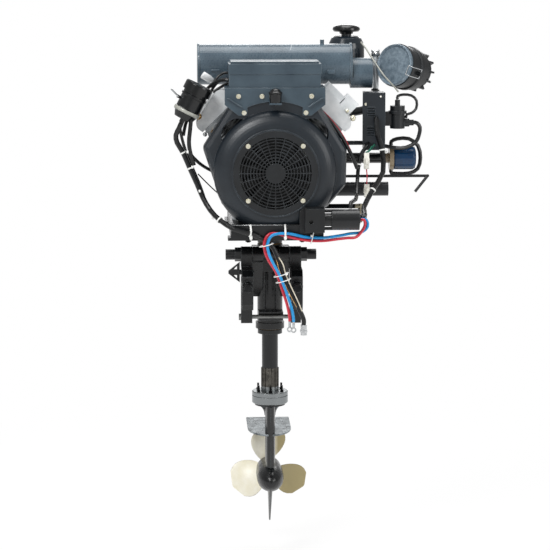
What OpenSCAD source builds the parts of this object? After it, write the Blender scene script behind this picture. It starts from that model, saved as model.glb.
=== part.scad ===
// Outboard with an air-cooled V-twin diesel: transom clamp, swivel, leg, gearcase, propeller and engine.
// Millimetres. +X is to the right seen from the bow, +Y points aft, +Z up.
// The origin is the centre of the four transom bolts, on the transom's aft face.

/* [Transom clamp] */
// Depth of the jaw, from the transom face to the front arm
jaw_depth = 78; // [70:1:95]
// Transom thickness that the pads rest on
transom_t = 50; // [40:1:58]
// Thickness of the bolted plate of a bracket
plate_t = 18; // [16:1:22]
// Thickness of the front arm of a bracket
arm_t = 18; // [14:1:22]
// Width of a bracket
bracket_w = 32; // [28:1:38]
// Clear width between the two brackets
bracket_gap = 106; // [100:1:120]
// Height of the transom seat above the bolt pattern's centre
seat_z = 50; // [46:1:56]
// Height of the hook over the transom
hook_t = 22; // [18:1:24]
// Reach of the front arm below the bolt pattern's centre
arm_drop = 40; // [34:1:60]
// Reach of the bolted plate below the bolt pattern's centre
plate_drop = 92; // [90:1:110]
// Height between the upper and lower transom bolts
bolt_gap_z = 70; // [60:1:76]
// Radius of a transom bolt hole
bolt_r = 5.25; // [4:0.25:6.5]
// Radius of the tilt tube
tilt_tube_r = 15; // [12:0.5:16]
// Length of the tilt tube
tilt_tube_l = 256; // [236:2:280]
// Height of the tilt axis above the bolt pattern's centre
tilt_z = 104; // [100:1:108]
// Radius of a clamp screw
screw_r = 9; // [7:0.5:10]
// Height of the clamp screws
screw_z = 29; // [24:1:30]
// Radius of a clamp pad
pad_r = 17; // [14:0.5:17.5]

/* [Swivel and leg] */
// Distance of the leg's axis aft of the transom face
leg_y = 75; // [70:1:84]
// Outer radius of the swivel tube
swivel_r = 36; // [33:0.5:40]
// Height of the swivel tube's top
swivel_top = 126; // [122:1:130]
// Width of one swivel ear
ear_w = 30; // [24:1:34]
// Outer radius of the leg tube
leg_r = 23; // [21:0.5:24]
// Radius of the ribbed casing
casing_r = 25.5; // [25.5:0.5:28]
// Radius of the leg flange
flange_r = 51.5; // [50:0.5:56]

/* [Gearcase and propeller] */
// Drop of the propeller axis
prop_drop = 555; // [540:1:570]
// Radius of the torpedo
torpedo_r = 39; // [38:0.5:42]
// Length of the torpedo from its nose to its open end
torpedo_l = 181; // [172:1:190]
// Length of the strut, fore and aft
strut_l = 124; // [110:1:130]
// Thickness of the strut
strut_w = 32; // [28:1:34]
// Drop of the skeg's tip
skeg_drop = 690; // [670:1:710]
// Width of the anti-ventilation plate
vent_w = 126; // [110:1:136]
// Length of the anti-ventilation plate
vent_l = 236; // [220:1:240]
// Tip radius of the propeller
prop_r = 121; // [110:0.5:122]
// Hub radius of the propeller
hub_r = 29; // [26:0.5:31]
// Hub length of the propeller
hub_l = 58; // [54:1:64]
// Pitch of the propeller
prop_pitch = 230; // [180:5:280]
// Greatest chord of a blade
blade_chord = 106; // [90:1:110]
// Number of blades
blades_n = 3; // [2:1:4]
// Radius of the propeller shaft
prop_shaft_r = 8; // [7:0.5:9]
// Radius of the vertical drive shaft
drive_r = 9; // [8:0.5:10]
// Teeth on the lower pinion
pinion_n = 13; // [11:1:15]
// Teeth on the propeller shaft's gear
gear_n = 26; // [22:1:28]
// Outer cone distance of the lower gears
lower_cone = 32; // [30:0.5:33]
// Teeth on each of the upper gears
upper_n = 17; // [15:1:21]
// Outer cone distance of the upper gears
upper_cone = 56; // [52:1:58]

/* [Engine base] */
// Height of the base frame's top
base_top = 229; // [226:1:231]
// Height of the base frame
base_h = 42; // [38:1:46]
// Width of the base frame
base_w = 240; // [232:1:250]
// Distance from the base frame's front edge to the transom face
base_front = 300; // [298:1:320]
// Distance between the mount bolts across the engine
mount_gap = 146; // [136:1:160]
// Height of the crank axis
crank_z = 368; // [362:1:376]

/* [Engine block] */
// Radius of the round part of the crankcase
case_r = 95; // [90:1:98]
// Length of the crankcase
case_l = 190; // [184:1:196]
// Distance from the crankcase's front to the transom face
case_front = 205; // [202:1:208]
// Width of the sump
sump_w = 164; // [156:1:176]
// Lean of each cylinder from upright
bank_angle = 45; // [43:0.5:47]
// Radius of a cylinder barrel
barrel_r = 50; // [46:1:54]
// Radius of a cylinder bore
cyl_bore_r = 43; // [38:0.5:44]
// Width of the cooling fins
fin_w = 112; // [106:1:116]
// Number of fins on a cylinder
fins_n = 8; // [5:1:8]
// Distance from the crank axis to the cylinder's foot
deck = 104; // [100:1:106]
// Distance from the crank axis to the head
head_d = 178; // [178:1:182]
// Height of a cylinder head
head_h = 30; // [26:1:34]
// Length of a rocker cover across the bank
cover_l = 128; // [116:1:132]
// Width of a rocker cover along the crank
cover_w = 92; // [80:1:100]
// Throw of the crank
throw = 34; // [30:0.5:36]
// Radius of the upper gear housing
gearbox_r = 72; // [70:1:76]

/* [Cooling fan and cowl] */
// Half width of the cowl
cowl_half = 194; // [186:1:200]
// Depth of the cowl's body
cowl_depth = 57; // [52:1:62]
// Radius of the cowl's dome
dome_r = 166; // [160:1:170]
// Height of the dome
dome_h = 32; // [28:1:36]
// Outer radius of the raised ring
ring_r = 118; // [116:0.5:122]
// Radius of the grille
grille_r = 114; // [112:0.5:115]
// Radius of the plain middle of the grille
grille_hub_r = 27; // [22:0.5:32]
// Number of rings in the grille
rings_n = 8; // [6:1:9]
// Number of spokes in the grille
spokes_n = 24; // [16:2:28]
// Number of fan blades
fan_n = 12; // [8:1:14]
// Width of the cover plate
plate_w = 270; // [260:1:280]
// Height of the cover plate's top above the crank axis
plate_top = 227; // [222:1:232]

/* [Boxes, exhaust and tank] */
// Width of the electrics box
box_w = 246; // [230:2:256]
// Depth of the electrics box
box_d = 106; // [96:1:112]
// Height of the electrics box's base
box_h = 35; // [30:1:40]
// Height of its lid
lid_h = 34; // [30:1:38]
// Radius of the silencer
muffler_r = 56; // [52:1:57]
// Radius of the fuel tank at its foot
tank_r = 52; // [48:0.5:53]
// Height of the fuel tank's body
tank_h = 115; // [108:1:118]
// Radius of the mushroom cap
cap_r = 38.5; // [34:0.5:40]
// Height of the mushroom cap
cap_h = 27; // [22:1:30]

/* [Filters and fittings] */
// Radius of the air filter's housing
air_r = 58; // [54:1:60]
// Length of the air filter's housing
air_l = 128; // [120:1:136]
// Width of the regulator box
reg_w = 57; // [52:1:60]
// Depth of the regulator box
reg_d = 70; // [64:1:74]
// Height of the regulator box
reg_h = 158; // [150:1:162]
// Radius of the oil filter
oil_r = 33; // [30:0.5:35]
// Length of the oil filter
oil_l = 62; // [56:1:66]
// Radius of the breather canister
can_r = 36; // [33:0.5:38]
// Length of the breather canister
can_l = 86; // [80:1:90]
// Radius of the shift actuator's motor
motor_r = 28; // [25:0.5:30]

/* [Hidden] */
$fn = 48;
// Overrun of every cut
cut = 1;
// Running clearance of shafts and pins, on the radius
run = 0.06;
// Gap between pieces that move past each other
gap = 0.4;
// Facets of small rounded forms
few = 16;

// Small sizes and places that have no range of their own
screw_head_r = 12;
screw_head_l = 12;
tilt_tube_wall = 4;
lock_reach = 36;
bush_wall = 5;
bush_flange_t = 3;
leg_wall = 6;
casing_ribs = 14;
flange_studs_n = 6;
vent_t = 5;
screw_cap_r = 6.5;
grille_screw_r = 104;
outlet_r = 42;
outlet_l = 60;
neck_r = 14;
neck_h = 16;
air_cover_t = 12;
box_wall = 3;
feet_h = 20;
cowl_wall = 4;
sheet_t = 5;
slot_r = 97;
journal_r = 14;
web_r = 52;
flywheel_r = 116;
fan_r = 92;
pad_t = 9;
clamp_travel = 20;
boss_r = 16;
cover_h = 44;
thrust_rod_r = 6;
grille_t = 6;
fin_t = 2.5;
base_t = 8;
swivel_drop = 118;
tank_drop = 44;
tank_y = 68;
tank_x = 215;
air_x = 337;
air_y = 60;
air_rise = 48;
reg_x = 253;
reg_rise = 43;
oil_x = 341;
oil_rise = 13;
pump_rise = 57;
pump_l = 63;
rod_x = 434;
muffler_rise = 49;
muffler_y = 46;
muffler_left = 203;
muffler_right = 218;
left_y = 138;
right_y = 142;
can_lean = 27;
air_lean = 103;
air_turn = 47;
thrust_rod_drop = 75;
screw_cap_h = 6;
plate_arc_gap = 24;
cowl_round = 18;
actuator_w = 52;
actuator_h = 64;
actuator_d = 46;
motor_l = 74;
vent_drop = 423;
nose_l = 92;
base_back = 138;
tube_nut_r = 20;
tube_nut_t = 17;
boss_l = 8;
cover_slant = 11;
lock_t = 8;
casing_drop = 234;
foot_drop = 302;
bar_w = 2.4;
flange_h = 35;
rod_r = 4;
eye_r = 23;

black = [0.13, 0.14, 0.15];
charcoal = [0.20, 0.23, 0.26];
silver = [0.72, 0.73, 0.74];
steel = [0.55, 0.56, 0.57];
cream = [0.90, 0.88, 0.78];
zinc = [0.80, 0.74, 0.55];
red = [0.75, 0.05, 0.08];
blue = [0.02, 0.22, 0.45];
white = [0.92, 0.92, 0.92];

// Places derived from the sizes above
bracket_x = (bracket_gap + bracket_w) / 2;
bracket_out = bracket_gap / 2 + bracket_w;
tilt_y = plate_t / 2;
arm_front = -jaw_depth - arm_t;
bush_in = leg_r + run;
bush_out = leg_r + run + bush_wall;
leg_in = leg_r - leg_wall;
base_bottom = base_top - base_h;
thrust_top = swivel_top + bush_flange_t + gap;
foot_z = -foot_drop;
flange_z = foot_z - flange_h;
prop_z = -prop_drop;
tunnel_r = drive_r + leg_wall / 2;
vent_z = -vent_drop;
nose_y = leg_y - nose_l;
torpedo_y = nose_y + torpedo_l;
case_back = case_l - case_front;
feet_z = base_top + feet_h;
cowl_back = -case_front;
cowl_front = cowl_back - cowl_depth;
ring_front = cowl_front - dome_h - grille_t;
grille_y = ring_front + grille_t;
plate_y = cowl_front - sheet_t;
deck_z = crank_z + plate_top;
plate_arc_r = dome_r + plate_arc_gap;
muffler_z = deck_z + muffler_rise;
tank_z = muffler_z - tank_drop;
air_z = deck_z + air_rise;
reg_z = crank_z + reg_rise;
oil_z = crank_z + oil_rise;
fin_pitch = (head_d - deck - fin_t * 4.4) / (fins_n - 1);
muffler_at = -muffler_y;
pinion_angle = atan(pinion_n / gear_n);
reg_back = -muffler_y - reg_d / 2;
oil_y = -base_t * 4;
stay_y = reg_back + reg_d * 0.4;
stay_z = reg_z + reg_h * 0.09;
// Middles of the crankcase's feet, [x, y]
foot_bolts = [for (x = [-1, 1], y = [feet_h - case_front, case_back - feet_h])
  [x * (sump_w / 2 + feet_h * 0.6), y]];
// Places of the two pairs of bolts at the ends of the base frame, [x, y]
end_bolts = [for (x = [-mount_gap / 2, mount_gap / 2], y = [base_t * 3 - base_front, base_back - base_t *
    3])
  [x, y]];

module block(x0, x1, y0, y1, z0, z1) {
  translate([x0, y0, z0]) cube([x1 - x0, y1 - y0, z1 - z0]);
}

module bar_x(r, x0, x1, y, z) {
  translate([x0, y, z]) rotate([0, 90, 0]) cylinder(r = r, h = x1 - x0);
}

module bar_y(r, y0, y1, x, z) {
  translate([x, y0, z]) rotate([-90, 0, 0]) cylinder(r = r, h = y1 - y0);
}

module bar_z(r, z0, z1, x, y) {
  translate([x, y, z0]) cylinder(r = r, h = z1 - z0);
}

// A slab with the outline given as [y, z] points
module slab_x(points, x0, x1) {
  translate([x0, 0, 0]) rotate([90, 0, 90]) linear_extrude(x1 - x0) polygon(points);
}

// A slab with the outline given as [x, z] points
module slab_y(points, y0, y1) {
  translate([0, y1, 0]) rotate([90, 0, 0]) linear_extrude(y1 - y0) polygon(points);
}

// A turned form about the line x, z along +Y, with the profile given as [radius, y] points
module turned_y(points, x, z) {
  translate([x, 0, z]) rotate([-90, 0, 0]) rotate_extrude() polygon(points);
}

// A hexagon prism along Z
module hex(r, h) {
  cylinder(r = r, h = h, $fn = 6);
}

// A round rod from p to q
module rod(p, q, r) {
  d = q - p;
  translate(p) rotate([0, acos(d[2] / norm(d)), atan2(d[1], d[0])]) cylinder(r = r, h = norm(d));
}

// Points on a smooth curve through the route p, with n steps to each stretch
function smooth(p, n) = [for (i = [0:len(p) - 2], k = [0:n - 1])
  let (a = p[max(i - 1, 0)], b = p[i], c = p[i + 1], d = p[min(i + 2, len(p) - 1)], t = k / n)
  0.5 * (2 * b + (c - a) * t + (2 * a - 5 * b + 4 * c - d) * t * t
    + (3 * b - a - 3 * c + d) * t * t * t), p[len(p) - 1]];
function unit(v) = v / norm(v);
function ahead(p, i) = unit(p[min(i + 1, len(p) - 1)] - p[max(i - 1, 0)]);
// Side directions carried along the curve without twist
function sides(p, i, s) = i >= len(p) ? []
  : let (t = ahead(p, i), u = unit(s - (s * t) * t)) concat([u], sides(p, i + 1, u));

// A round tube of radius r swept along the points p
module swept(p, r, n) {
  s = sides(p, 0, unit(cross(ahead(p, 0), abs(ahead(p, 0)[2]) > 0.8 ? [1, 0, 0] : [0, 0, 1])));
  m = len(p);
  pts = [for (i = [0:m - 1], k = [0:n - 1])
    p[i] + r * (cos(360 * k / n) * s[i] + sin(360 * k / n) * cross(ahead(p, i), s[i]))];
  walls = [for (i = [0:m - 2], k = [0:n - 1], h = [0, 1])
    h == 0 ? [i * n + k, (i + 1) * n + k, i * n + (k + 1) % n]
      : [(i + 1) * n + k, (i + 1) * n + (k + 1) % n, i * n + (k + 1) % n]];
  polyhedron(concat(pts), concat(walls, [[for (k = [0:n - 1]) k]],
    [[for (k = [0:n - 1]) m * n - 1 - k]]));
}

// Straight bevel gear with its apex at the origin and its axis along +Z, standing on the far side.
// cone is the outer cone distance, angle the pitch cone's half angle, turn the place of a tooth.
module bevel(n, cone, angle, turn) {
  face_share = 0.68;
  step = 360 / n;
  pitch_deg = step * sin(angle);
  tip = angle + 0.24 * pitch_deg;
  root = angle - 0.34 * pitch_deg;
  // Shares of the tooth pitch at which the tooth turns from root to tip and back
  tooth_shares = [[-0.31, 0], [-0.12, 1], [0.12, 1], [0.31, 0]];
  ring = [for (i = [0:n - 1], s = tooth_shares)
    let (a = turn + (i + s[0]) * step, c = s[1] == 1 ? tip : root)
    [sin(c) * cos(a), sin(c) * sin(a), cos(c)]];
  m = len(ring);
  back = cone * cos(root);
  front = back * face_share;
  pts = concat([for (p = ring) p * cone], [for (p = ring) p * cone * face_share],
    [[0, 0, back], [0, 0, front]]);
  faces = concat([for (i = [0:m - 1]) [(i + 1) % m, i, m * 2]],
    [for (i = [0:m - 1]) [m + i, m + (i + 1) % m, m * 2 + 1]],
    [for (i = [0:m - 1], h = [0, 1]) h == 0 ? [i, (i + 1) % m, m + i]
      : [(i + 1) % m, m + (i + 1) % m, m + i]]);
  polyhedron(pts, faces);
}

// Frame of one cylinder: +Z runs out from the crank axis
module bank(side) {
  translate([0, side < 0 ? -left_y : -right_y, crank_z]) rotate([0, side * bank_angle, 0]) children();
}

module clamp_bracket(side) {
  x0 = side * bracket_x - bracket_w / 2;
  x1 = x0 + bracket_w;
  hook_z = seat_z + hook_t;
  mid = side * bracket_x;
  color(black) difference() {
    union() {
      slab_x([[arm_front, -arm_drop + boss_r], [arm_front, hook_z - boss_r], [arm_front + boss_r, hook_z],
        [plate_t, hook_z], [plate_t, -plate_drop], [0, -plate_drop], [0, seat_z],
        [-jaw_depth, seat_z], [-jaw_depth, -arm_drop], [-jaw_depth - boss_l, -arm_drop]], x0, x1);
      block(x0, x1, tilt_y - eye_r, tilt_y + eye_r, seat_z + hook_t / 2, tilt_z);
      bar_x(eye_r, x0, x1, tilt_y, tilt_z);
      bar_y(boss_r, arm_front - boss_l, -jaw_depth, mid, screw_z);
      bar_y(bolt_r * 2, plate_t - cut, plate_t + bolt_r / 2, mid, bolt_gap_z / 2);
      bar_y(bolt_r * 2, plate_t - cut, plate_t + bolt_r / 2, mid, -bolt_gap_z / 2);
    }
    bar_x(tilt_tube_r + run, x0 - cut, x1 + cut, tilt_y, tilt_z);
    bar_x(thrust_rod_r + run, x0 - cut, x1 + cut, tilt_y, -thrust_rod_drop);
    bar_y(screw_r + run, arm_front - boss_l - cut, -jaw_depth + cut, mid, screw_z);
    for (z = [-bolt_gap_z / 2, bolt_gap_z / 2])
      bar_y(bolt_r, -cut, plate_t + bolt_r + cut, mid, z);
    if (side < 0) bar_x(lock_t / 2 + run, x0 - cut, x1 + cut, -jaw_depth / 2, seat_z + hook_t / 2);
    // Recess in the outer side between the two walls of the hook
    block(side * bracket_out - bracket_w / 8, side * bracket_out + bracket_w / 8, arm_front + arm_t / 4,
      -jaw_depth - arm_t / 4, -arm_drop + boss_r, screw_z - boss_r);
  }
}

module clamp_bracket_left() {
  clamp_bracket(-1);
}

module clamp_bracket_right() {
  clamp_bracket(1);
}

module tilt_tube() {
  half = tilt_tube_l / 2;
  color(black) {
    difference() {
      bar_x(tilt_tube_r, -half, half, tilt_y, tilt_z);
      bar_x(tilt_tube_r - tilt_tube_wall, -half - cut, half + cut, tilt_y, tilt_z);
    }
    for (x = [bracket_out, -bracket_out - tube_nut_t]) difference() {
      translate([x, tilt_y, tilt_z]) rotate([0, 90, 0]) hex(tube_nut_r, tube_nut_t);
      bar_x(tilt_tube_r + run, x - cut, x + tube_nut_t + cut, tilt_y, tilt_z);
    }
  }
}

module thrust_rod() {
  color(steel) {
    bar_x(thrust_rod_r, -bracket_out - thrust_rod_r, bracket_out + thrust_rod_r, tilt_y,
        -thrust_rod_drop);
    for (x = [bracket_out, -bracket_out - thrust_rod_r])
      bar_x(thrust_rod_r * 1.6, x, x + thrust_rod_r, tilt_y, -thrust_rod_drop);
  }
}

module clamp_screw(side) {
  mid = side * bracket_x;
  tip = -transom_t - pad_t / 2;
  head = arm_front - boss_l - clamp_travel - gap;
  color(steel) {
    bar_y(screw_r, head, tip - pad_t / 2 - gap / 2, mid, screw_z);
    bar_y(screw_r / 2, head, tip, mid, screw_z);
    translate([mid, head - screw_head_l, screw_z]) rotate([-90, 0, 0]) hex(screw_head_r, screw_head_l);
    bar_y(screw_head_r * 1.15, head - screw_r / 4, head, mid, screw_z);
  }
}

module clamp_screw_left() {
  clamp_screw(-1);
}

module clamp_screw_right() {
  clamp_screw(1);
}

module clamp_pad(side) {
  mid = side * bracket_x;
  color(steel) difference() {
    turned_y([[0, -transom_t], [pad_r, -transom_t], [pad_r, -transom_t - pad_t / 3],
      [screw_r, -transom_t - pad_t], [0, -transom_t - pad_t]], mid, screw_z);
    bar_y(screw_r / 2 + run, -transom_t - pad_t - cut, -transom_t - pad_t / 2 + gap / 2, mid, screw_z);
  }
}

module clamp_pad_left() {
  clamp_pad(-1);
}

module clamp_pad_right() {
  clamp_pad(1);
}

module tilt_lock_lever() {
  x0 = -bracket_out - gap;
  z = seat_z + hook_t / 2;
  y = -jaw_depth / 2;
  color(black) difference() {
    union() {
      bar_x(lock_t / 2, x0, -bracket_gap / 2 + lock_t / 2, y, z);
      bar_x(lock_t * 0.9, x0 - lock_t, x0, y, z);
      // Triangular finger loop
      slab_y([[x0 - lock_t / 2, z + lock_reach * 0.8], [x0 - lock_reach, z + lock_reach * 0.1],
        [x0 - lock_reach, z - lock_reach * 0.1], [x0 - lock_t / 2, z - lock_reach * 0.8]],
        y - lock_t / 2, y + lock_t / 2);
    }
    slab_y([[x0 - lock_t * 1.5, z - lock_t], [x0 - lock_t * 1.5, z - lock_reach * 0.5],
      [x0 - lock_reach * 0.6, z - lock_t]], y - lock_t, y + lock_t);
    slab_y([[x0 - lock_t * 1.5, z + lock_t], [x0 - lock_t * 1.5, z + lock_reach * 0.5],
      [x0 - lock_reach * 0.6, z + lock_t]], y - lock_t, y + lock_t);
  }
}

module swivel_bracket() {
  ear_out = bracket_gap / 2 - gap;
  stop_y = tilt_y + thrust_rod_r + gap;
  color(black) difference() {
    union() {
      bar_z(swivel_r, -swivel_drop, swivel_top, 0, leg_y);
      bar_z(swivel_r + bush_wall, -swivel_drop, -swivel_drop + swivel_r / 2, 0, leg_y);
      for (x = [-ear_out, ear_out - ear_w]) {
        bar_x(eye_r, x, x + ear_w, tilt_y, tilt_z);
        slab_x([[tilt_y, tilt_z + eye_r], [leg_y, tilt_z + swivel_r / 2], [leg_y, -thrust_rod_drop / 3],
          [leg_y - swivel_r / 2, -thrust_rod_drop / 3], [plate_t + bush_wall, seat_z],
          [tilt_y, tilt_z - eye_r]], x, x + ear_w);
      }
      // Web between the ears, and the pad that rests against the thrust rod
      block(-ear_out, ear_out, tilt_y + eye_r, leg_y, seat_z, tilt_z);
      block(-bracket_gap / 3, bracket_gap / 3, stop_y, leg_y, -thrust_rod_drop - thrust_rod_r * 2,
        -thrust_rod_drop + thrust_rod_r * 2);
      // Side ribs down to the lower collar
      for (s = [-1, 1]) slab_x([[leg_y - swivel_r, -thrust_rod_drop], [leg_y, -thrust_rod_drop],
        [leg_y, seat_z], [leg_y - swivel_r, seat_z]], s * swivel_r / 2 - bush_wall / 2,
        s * swivel_r / 2 + bush_wall / 2);
    }
    bar_z(bush_out, -swivel_drop - cut, swivel_top + cut, 0, leg_y);
    bar_x(tilt_tube_r + run, -ear_out - cut, ear_out + cut, tilt_y, tilt_z);
  }
}

module steering_bush(flange, tail) {
  rim = bush_out + bush_wall;
  lo = min(flange, tail);
  hi = max(flange, tail);
  difference() {
    union() {
      bar_z(bush_out, lo, hi, 0, leg_y);
      if (flange > tail) bar_z(rim, flange - bush_flange_t, flange, 0, leg_y);
      else bar_z(rim, flange, flange + bush_flange_t, 0, leg_y);
    }
    bar_z(bush_in, lo - cut, hi + cut, 0, leg_y);
  }
}

module steering_bushes() {
  color(zinc) {
    steering_bush(swivel_top + bush_flange_t, swivel_top - swivel_r * 1.5);
    steering_bush(-swivel_drop - bush_flange_t, -swivel_drop + swivel_r * 1.5);
  }
}

module base_frame() {
  half = base_w / 2;
  t = base_t;
  lower = base_bottom + t;
  color(black) difference() {
    union() {
      block(-half, half, -base_front, base_back, base_top - t, base_top);
      for (x = [-half, half - t]) block(x, x + t, -base_front, base_back, base_bottom, base_top);
      block(-half, half, -base_front, -base_front + t, base_bottom, base_top);
      // Lower plates fore and aft, the aft one round the leg
      block(-half - t, half + t, -base_front, -base_front + mount_gap / 3, base_bottom, lower);
      block(-half - t, half + t, leg_y - swivel_r - t, base_back, base_bottom, lower);
      bar_z(leg_r + leg_wall * 2, thrust_top, base_top, 0, leg_y);
    }
    bar_z(leg_r + run, thrust_top - cut, base_top + cut, 0, leg_y);
    for (p = end_bolts) bar_z(t / 2 + run, base_bottom - cut, base_top + cut, p[0], p[1]);
    for (p = foot_bolts) bar_z(t / 2 + run, base_top - t - cut, base_top + cut, p[0], p[1]);
  }
}

// Stud with a nut under its head, standing on z
module stud(r, lo, hi, nut) {
  translate([0, 0, lo]) cylinder(r = r, h = hi - lo);
  translate([0, 0, nut]) hex(r * 1.9, r * 1.6);
}

module fasteners() {
  t = base_t;
  ring = (flange_r + casing_r) / 2;
  d = grille_screw_r * sqrt(0.5);
  color(zinc) {
    for (p = end_bolts) translate([p[0], p[1], 0]) {
      stud(t / 2, base_bottom - t, base_top, base_bottom - t * 0.8);
    }
    for (p = foot_bolts) translate([p[0], p[1], 0]) {
      stud(t / 2, base_top - t * 2, feet_z + t * 1.2, feet_z);
      translate([0, 0, base_top - t * 1.8]) hex(t * 0.95, t * 0.8);
    }
    for (i = [0:flange_studs_n - 1]) translate([0, leg_y, 0]) rotate(360 * (i + 0.5) / flange_studs_n)
      translate([ring, 0, 0]) stud(leg_wall / 2, flange_z + leg_wall, foot_z + leg_wall * 3, foot_z);
    for (x = [-d, d], z = [crank_z - d, crank_z + d]) cap_screw(x, z, ring_front, grille_t);
    for (p = plate_screws) cap_screw(p[0], p[1], plate_y, sheet_t);
  }
}

module leg_tube() {
  top = crank_z - gearbox_r;
  collar = -swivel_drop - bush_flange_t - gap;
  color(black) difference() {
    union() {
      bar_z(leg_r, -casing_drop - leg_r, top, 0, leg_y);
      bar_z(leg_r + leg_wall * 2, collar - leg_wall * 2, collar, 0, leg_y);
    }
    bar_z(leg_in, -casing_drop - leg_r - cut, top + cut, 0, leg_y);
  }
}

module leg_casing() {
  socket = -casing_drop - leg_r;
  seam = foot_z - flange_h / 3;
  rib = leg_wall / 3;
  ring = (flange_r + casing_r) / 2;
  color(steel) difference() {
    union() {
      translate([0, leg_y, 0]) rotate_extrude() polygon([[0, -casing_drop], [casing_r - rib,
          -casing_drop],
        [casing_r - rib, foot_z], [flange_r - rib, foot_z], [flange_r, foot_z - rib], [flange_r, seam],
        [flange_r - rib, seam], [flange_r - rib, seam - rib], [flange_r, seam - rib],
        [flange_r, flange_z + rib], [flange_r - rib, flange_z], [0, flange_z]]);
      for (i = [0:casing_ribs - 1]) translate([0, leg_y, 0]) rotate(360 * i / casing_ribs)
        block(casing_r - rib * 2, casing_r, -rib / 2, rib / 2, foot_z, -casing_drop);
    }
    bar_z(leg_r + run, socket, -casing_drop + cut, 0, leg_y);
    bar_z(leg_in, flange_z - cut, socket + cut, 0, leg_y);
    for (i = [0:flange_studs_n - 1]) translate([0, leg_y, 0]) rotate(360 * (i + 0.5) / flange_studs_n)
      bar_z(leg_wall / 2 + run, flange_z + leg_wall - gap, foot_z + cut, ring, 0);
  }
}

// Streamlined section of length l and width w, nose at the origin, as [x, y] points
function section(l, w) = let (n = 12, half = [for (i = [0:n]) let (s = i / n)
    [w * 1.24 * (sqrt(s) * 0.98 - 0.42 * s - 0.56 * s * s), l * s]])
  concat(half, [for (i = [n - 1:-1:1]) [-half[i][0], half[i][1]]]);

module gearcase() {
  neck_r = flange_r * 0.85;
  neck_h = flange_h * 0.9;
  steps = 8;
  wall = torpedo_r - lower_cone - run;
  mouth = torpedo_y - leg_y;
  cavity = lower_cone + wall / 4;
  color(black) difference() {
    union() {
      // Neck that flares up to the leg flange
      translate([0, leg_y, flange_z]) rotate_extrude() polygon(concat([[0, 0]],
        [for (i = [0:steps]) let (a = 90 * i / steps)
          [strut_w / 2 + (neck_r - strut_w / 2) * (1 - sin(a)), -neck_h * (1 - cos(a)) - leg_wall]],
        [[0, -neck_h - leg_wall]]));
      bar_z(neck_r, flange_z - leg_wall, flange_z, 0, leg_y);
      translate([0, leg_y - strut_l * 0.42, prop_z]) linear_extrude(flange_z - prop_z - leg_wall)
        polygon(section(strut_l, strut_w));
      // Torpedo: an elliptic nose, then a slow taper to the open end
      turned_y(concat([for (i = [0:steps]) let (a = 90 * i / steps)
        [torpedo_r * sin(a), nose_y + nose_l * 0.8 * (1 - cos(a))]],
        [[torpedo_r, leg_y + mouth / 3], [torpedo_r * 0.92, torpedo_y], [0, torpedo_y]]), 0, prop_z);
      // Skeg, thinner towards its tip
      hull() {
        translate([0, nose_y + nose_l * 0.35, prop_z - torpedo_r * 0.7])
          linear_extrude(wall) polygon(section(torpedo_l * 0.78, strut_w / 2));
        translate([0, leg_y + strut_l * 0.05, -skeg_drop])
          linear_extrude(wall) polygon(section(strut_l * 0.42, strut_w / 6));
      }
    }
    translate([0, leg_y, prop_z]) sphere(r = cavity);
    bar_z(tunnel_r, prop_z, flange_z + cut, 0, leg_y);
    bar_y(cavity - wall / 4, leg_y, torpedo_y + cut, 0, prop_z);
  }
}

module anti_ventilation_plate() {
  back = leg_y + vent_l - strut_l * 0.38;
  front = back - vent_l;
  half = vent_w / 2;
  bend = vent_l * 0.42;
  steps = 14;
  rim = [for (i = [0:steps]) let (a = 180 * i / steps) [-half * cos(a), front + bend - bend * sin(a)]];
  color(silver) difference() {
    translate([0, 0, vent_z - vent_t]) linear_extrude(vent_t) polygon(concat(rim, [[half, back], [-half,
        back]]));
    translate([0, leg_y - strut_l * 0.42, vent_z - vent_t - cut]) linear_extrude(vent_t + cut * 2)
      polygon(section(strut_l, strut_w));
  }
}

module drive_shaft_bush(z, r) {
  difference() {
    bar_z(r, z - leg_r / 2, z + leg_r / 2, 0, leg_y);
    bar_z(drive_r + run, z - leg_r, z + leg_r, 0, leg_y);
  }
}

module drive_shaft_bushes() {
  color(zinc) {
    for (z = [base_top, -swivel_drop, foot_z]) drive_shaft_bush(z, leg_in);
    drive_shaft_bush(vent_z + leg_r, tunnel_r);
  }
}

module bearing_carrier() {
  wall = torpedo_r - lower_cone - run;
  r = lower_cone - run;
  front = leg_y + lower_cone * cos(90 - pinion_angle) + lower_cone * 0.55;
  color(silver) difference() {
    union() {
      bar_y(r, front, torpedo_y - wall, 0, prop_z);
      bar_y(hub_r - wall, torpedo_y - wall - cut, torpedo_y, 0, prop_z);
    }
    bar_y(prop_shaft_r + run, front - cut, torpedo_y + cut, 0, prop_z);
  }
}

module bevel_box() {
  wall = gearbox_r - upper_cone - run;
  r = leg_r + leg_wall * 2;
  color(charcoal) difference() {
    union() {
      bar_y(gearbox_r, case_back, leg_y + gearbox_r, 0, crank_z);
      bar_y(gearbox_r * 0.6, leg_y + gearbox_r - cut, leg_y + gearbox_r + wall / 3, 0, crank_z);
      bar_z(r, base_top, crank_z, 0, leg_y);
      bar_z(r + leg_wall * 2, base_top, base_top + leg_wall, 0, leg_y);
      for (s = [-1, 1]) slab_y([[s * r / 2, base_top], [s * gearbox_r, base_top], [s * gearbox_r,
          crank_z]],
        leg_y - base_t / 2, leg_y + base_t / 2);
    }
    translate([0, leg_y, crank_z]) sphere(r = upper_cone + wall / 4);
    bar_z(leg_r + run, base_top - cut, crank_z - gearbox_r + run, 0, leg_y);
    bar_z(leg_in, crank_z - gearbox_r, crank_z, 0, leg_y);
    bar_y(journal_r + wall / 2, case_back - cut, leg_y, 0, crank_z);
  }
}

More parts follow.
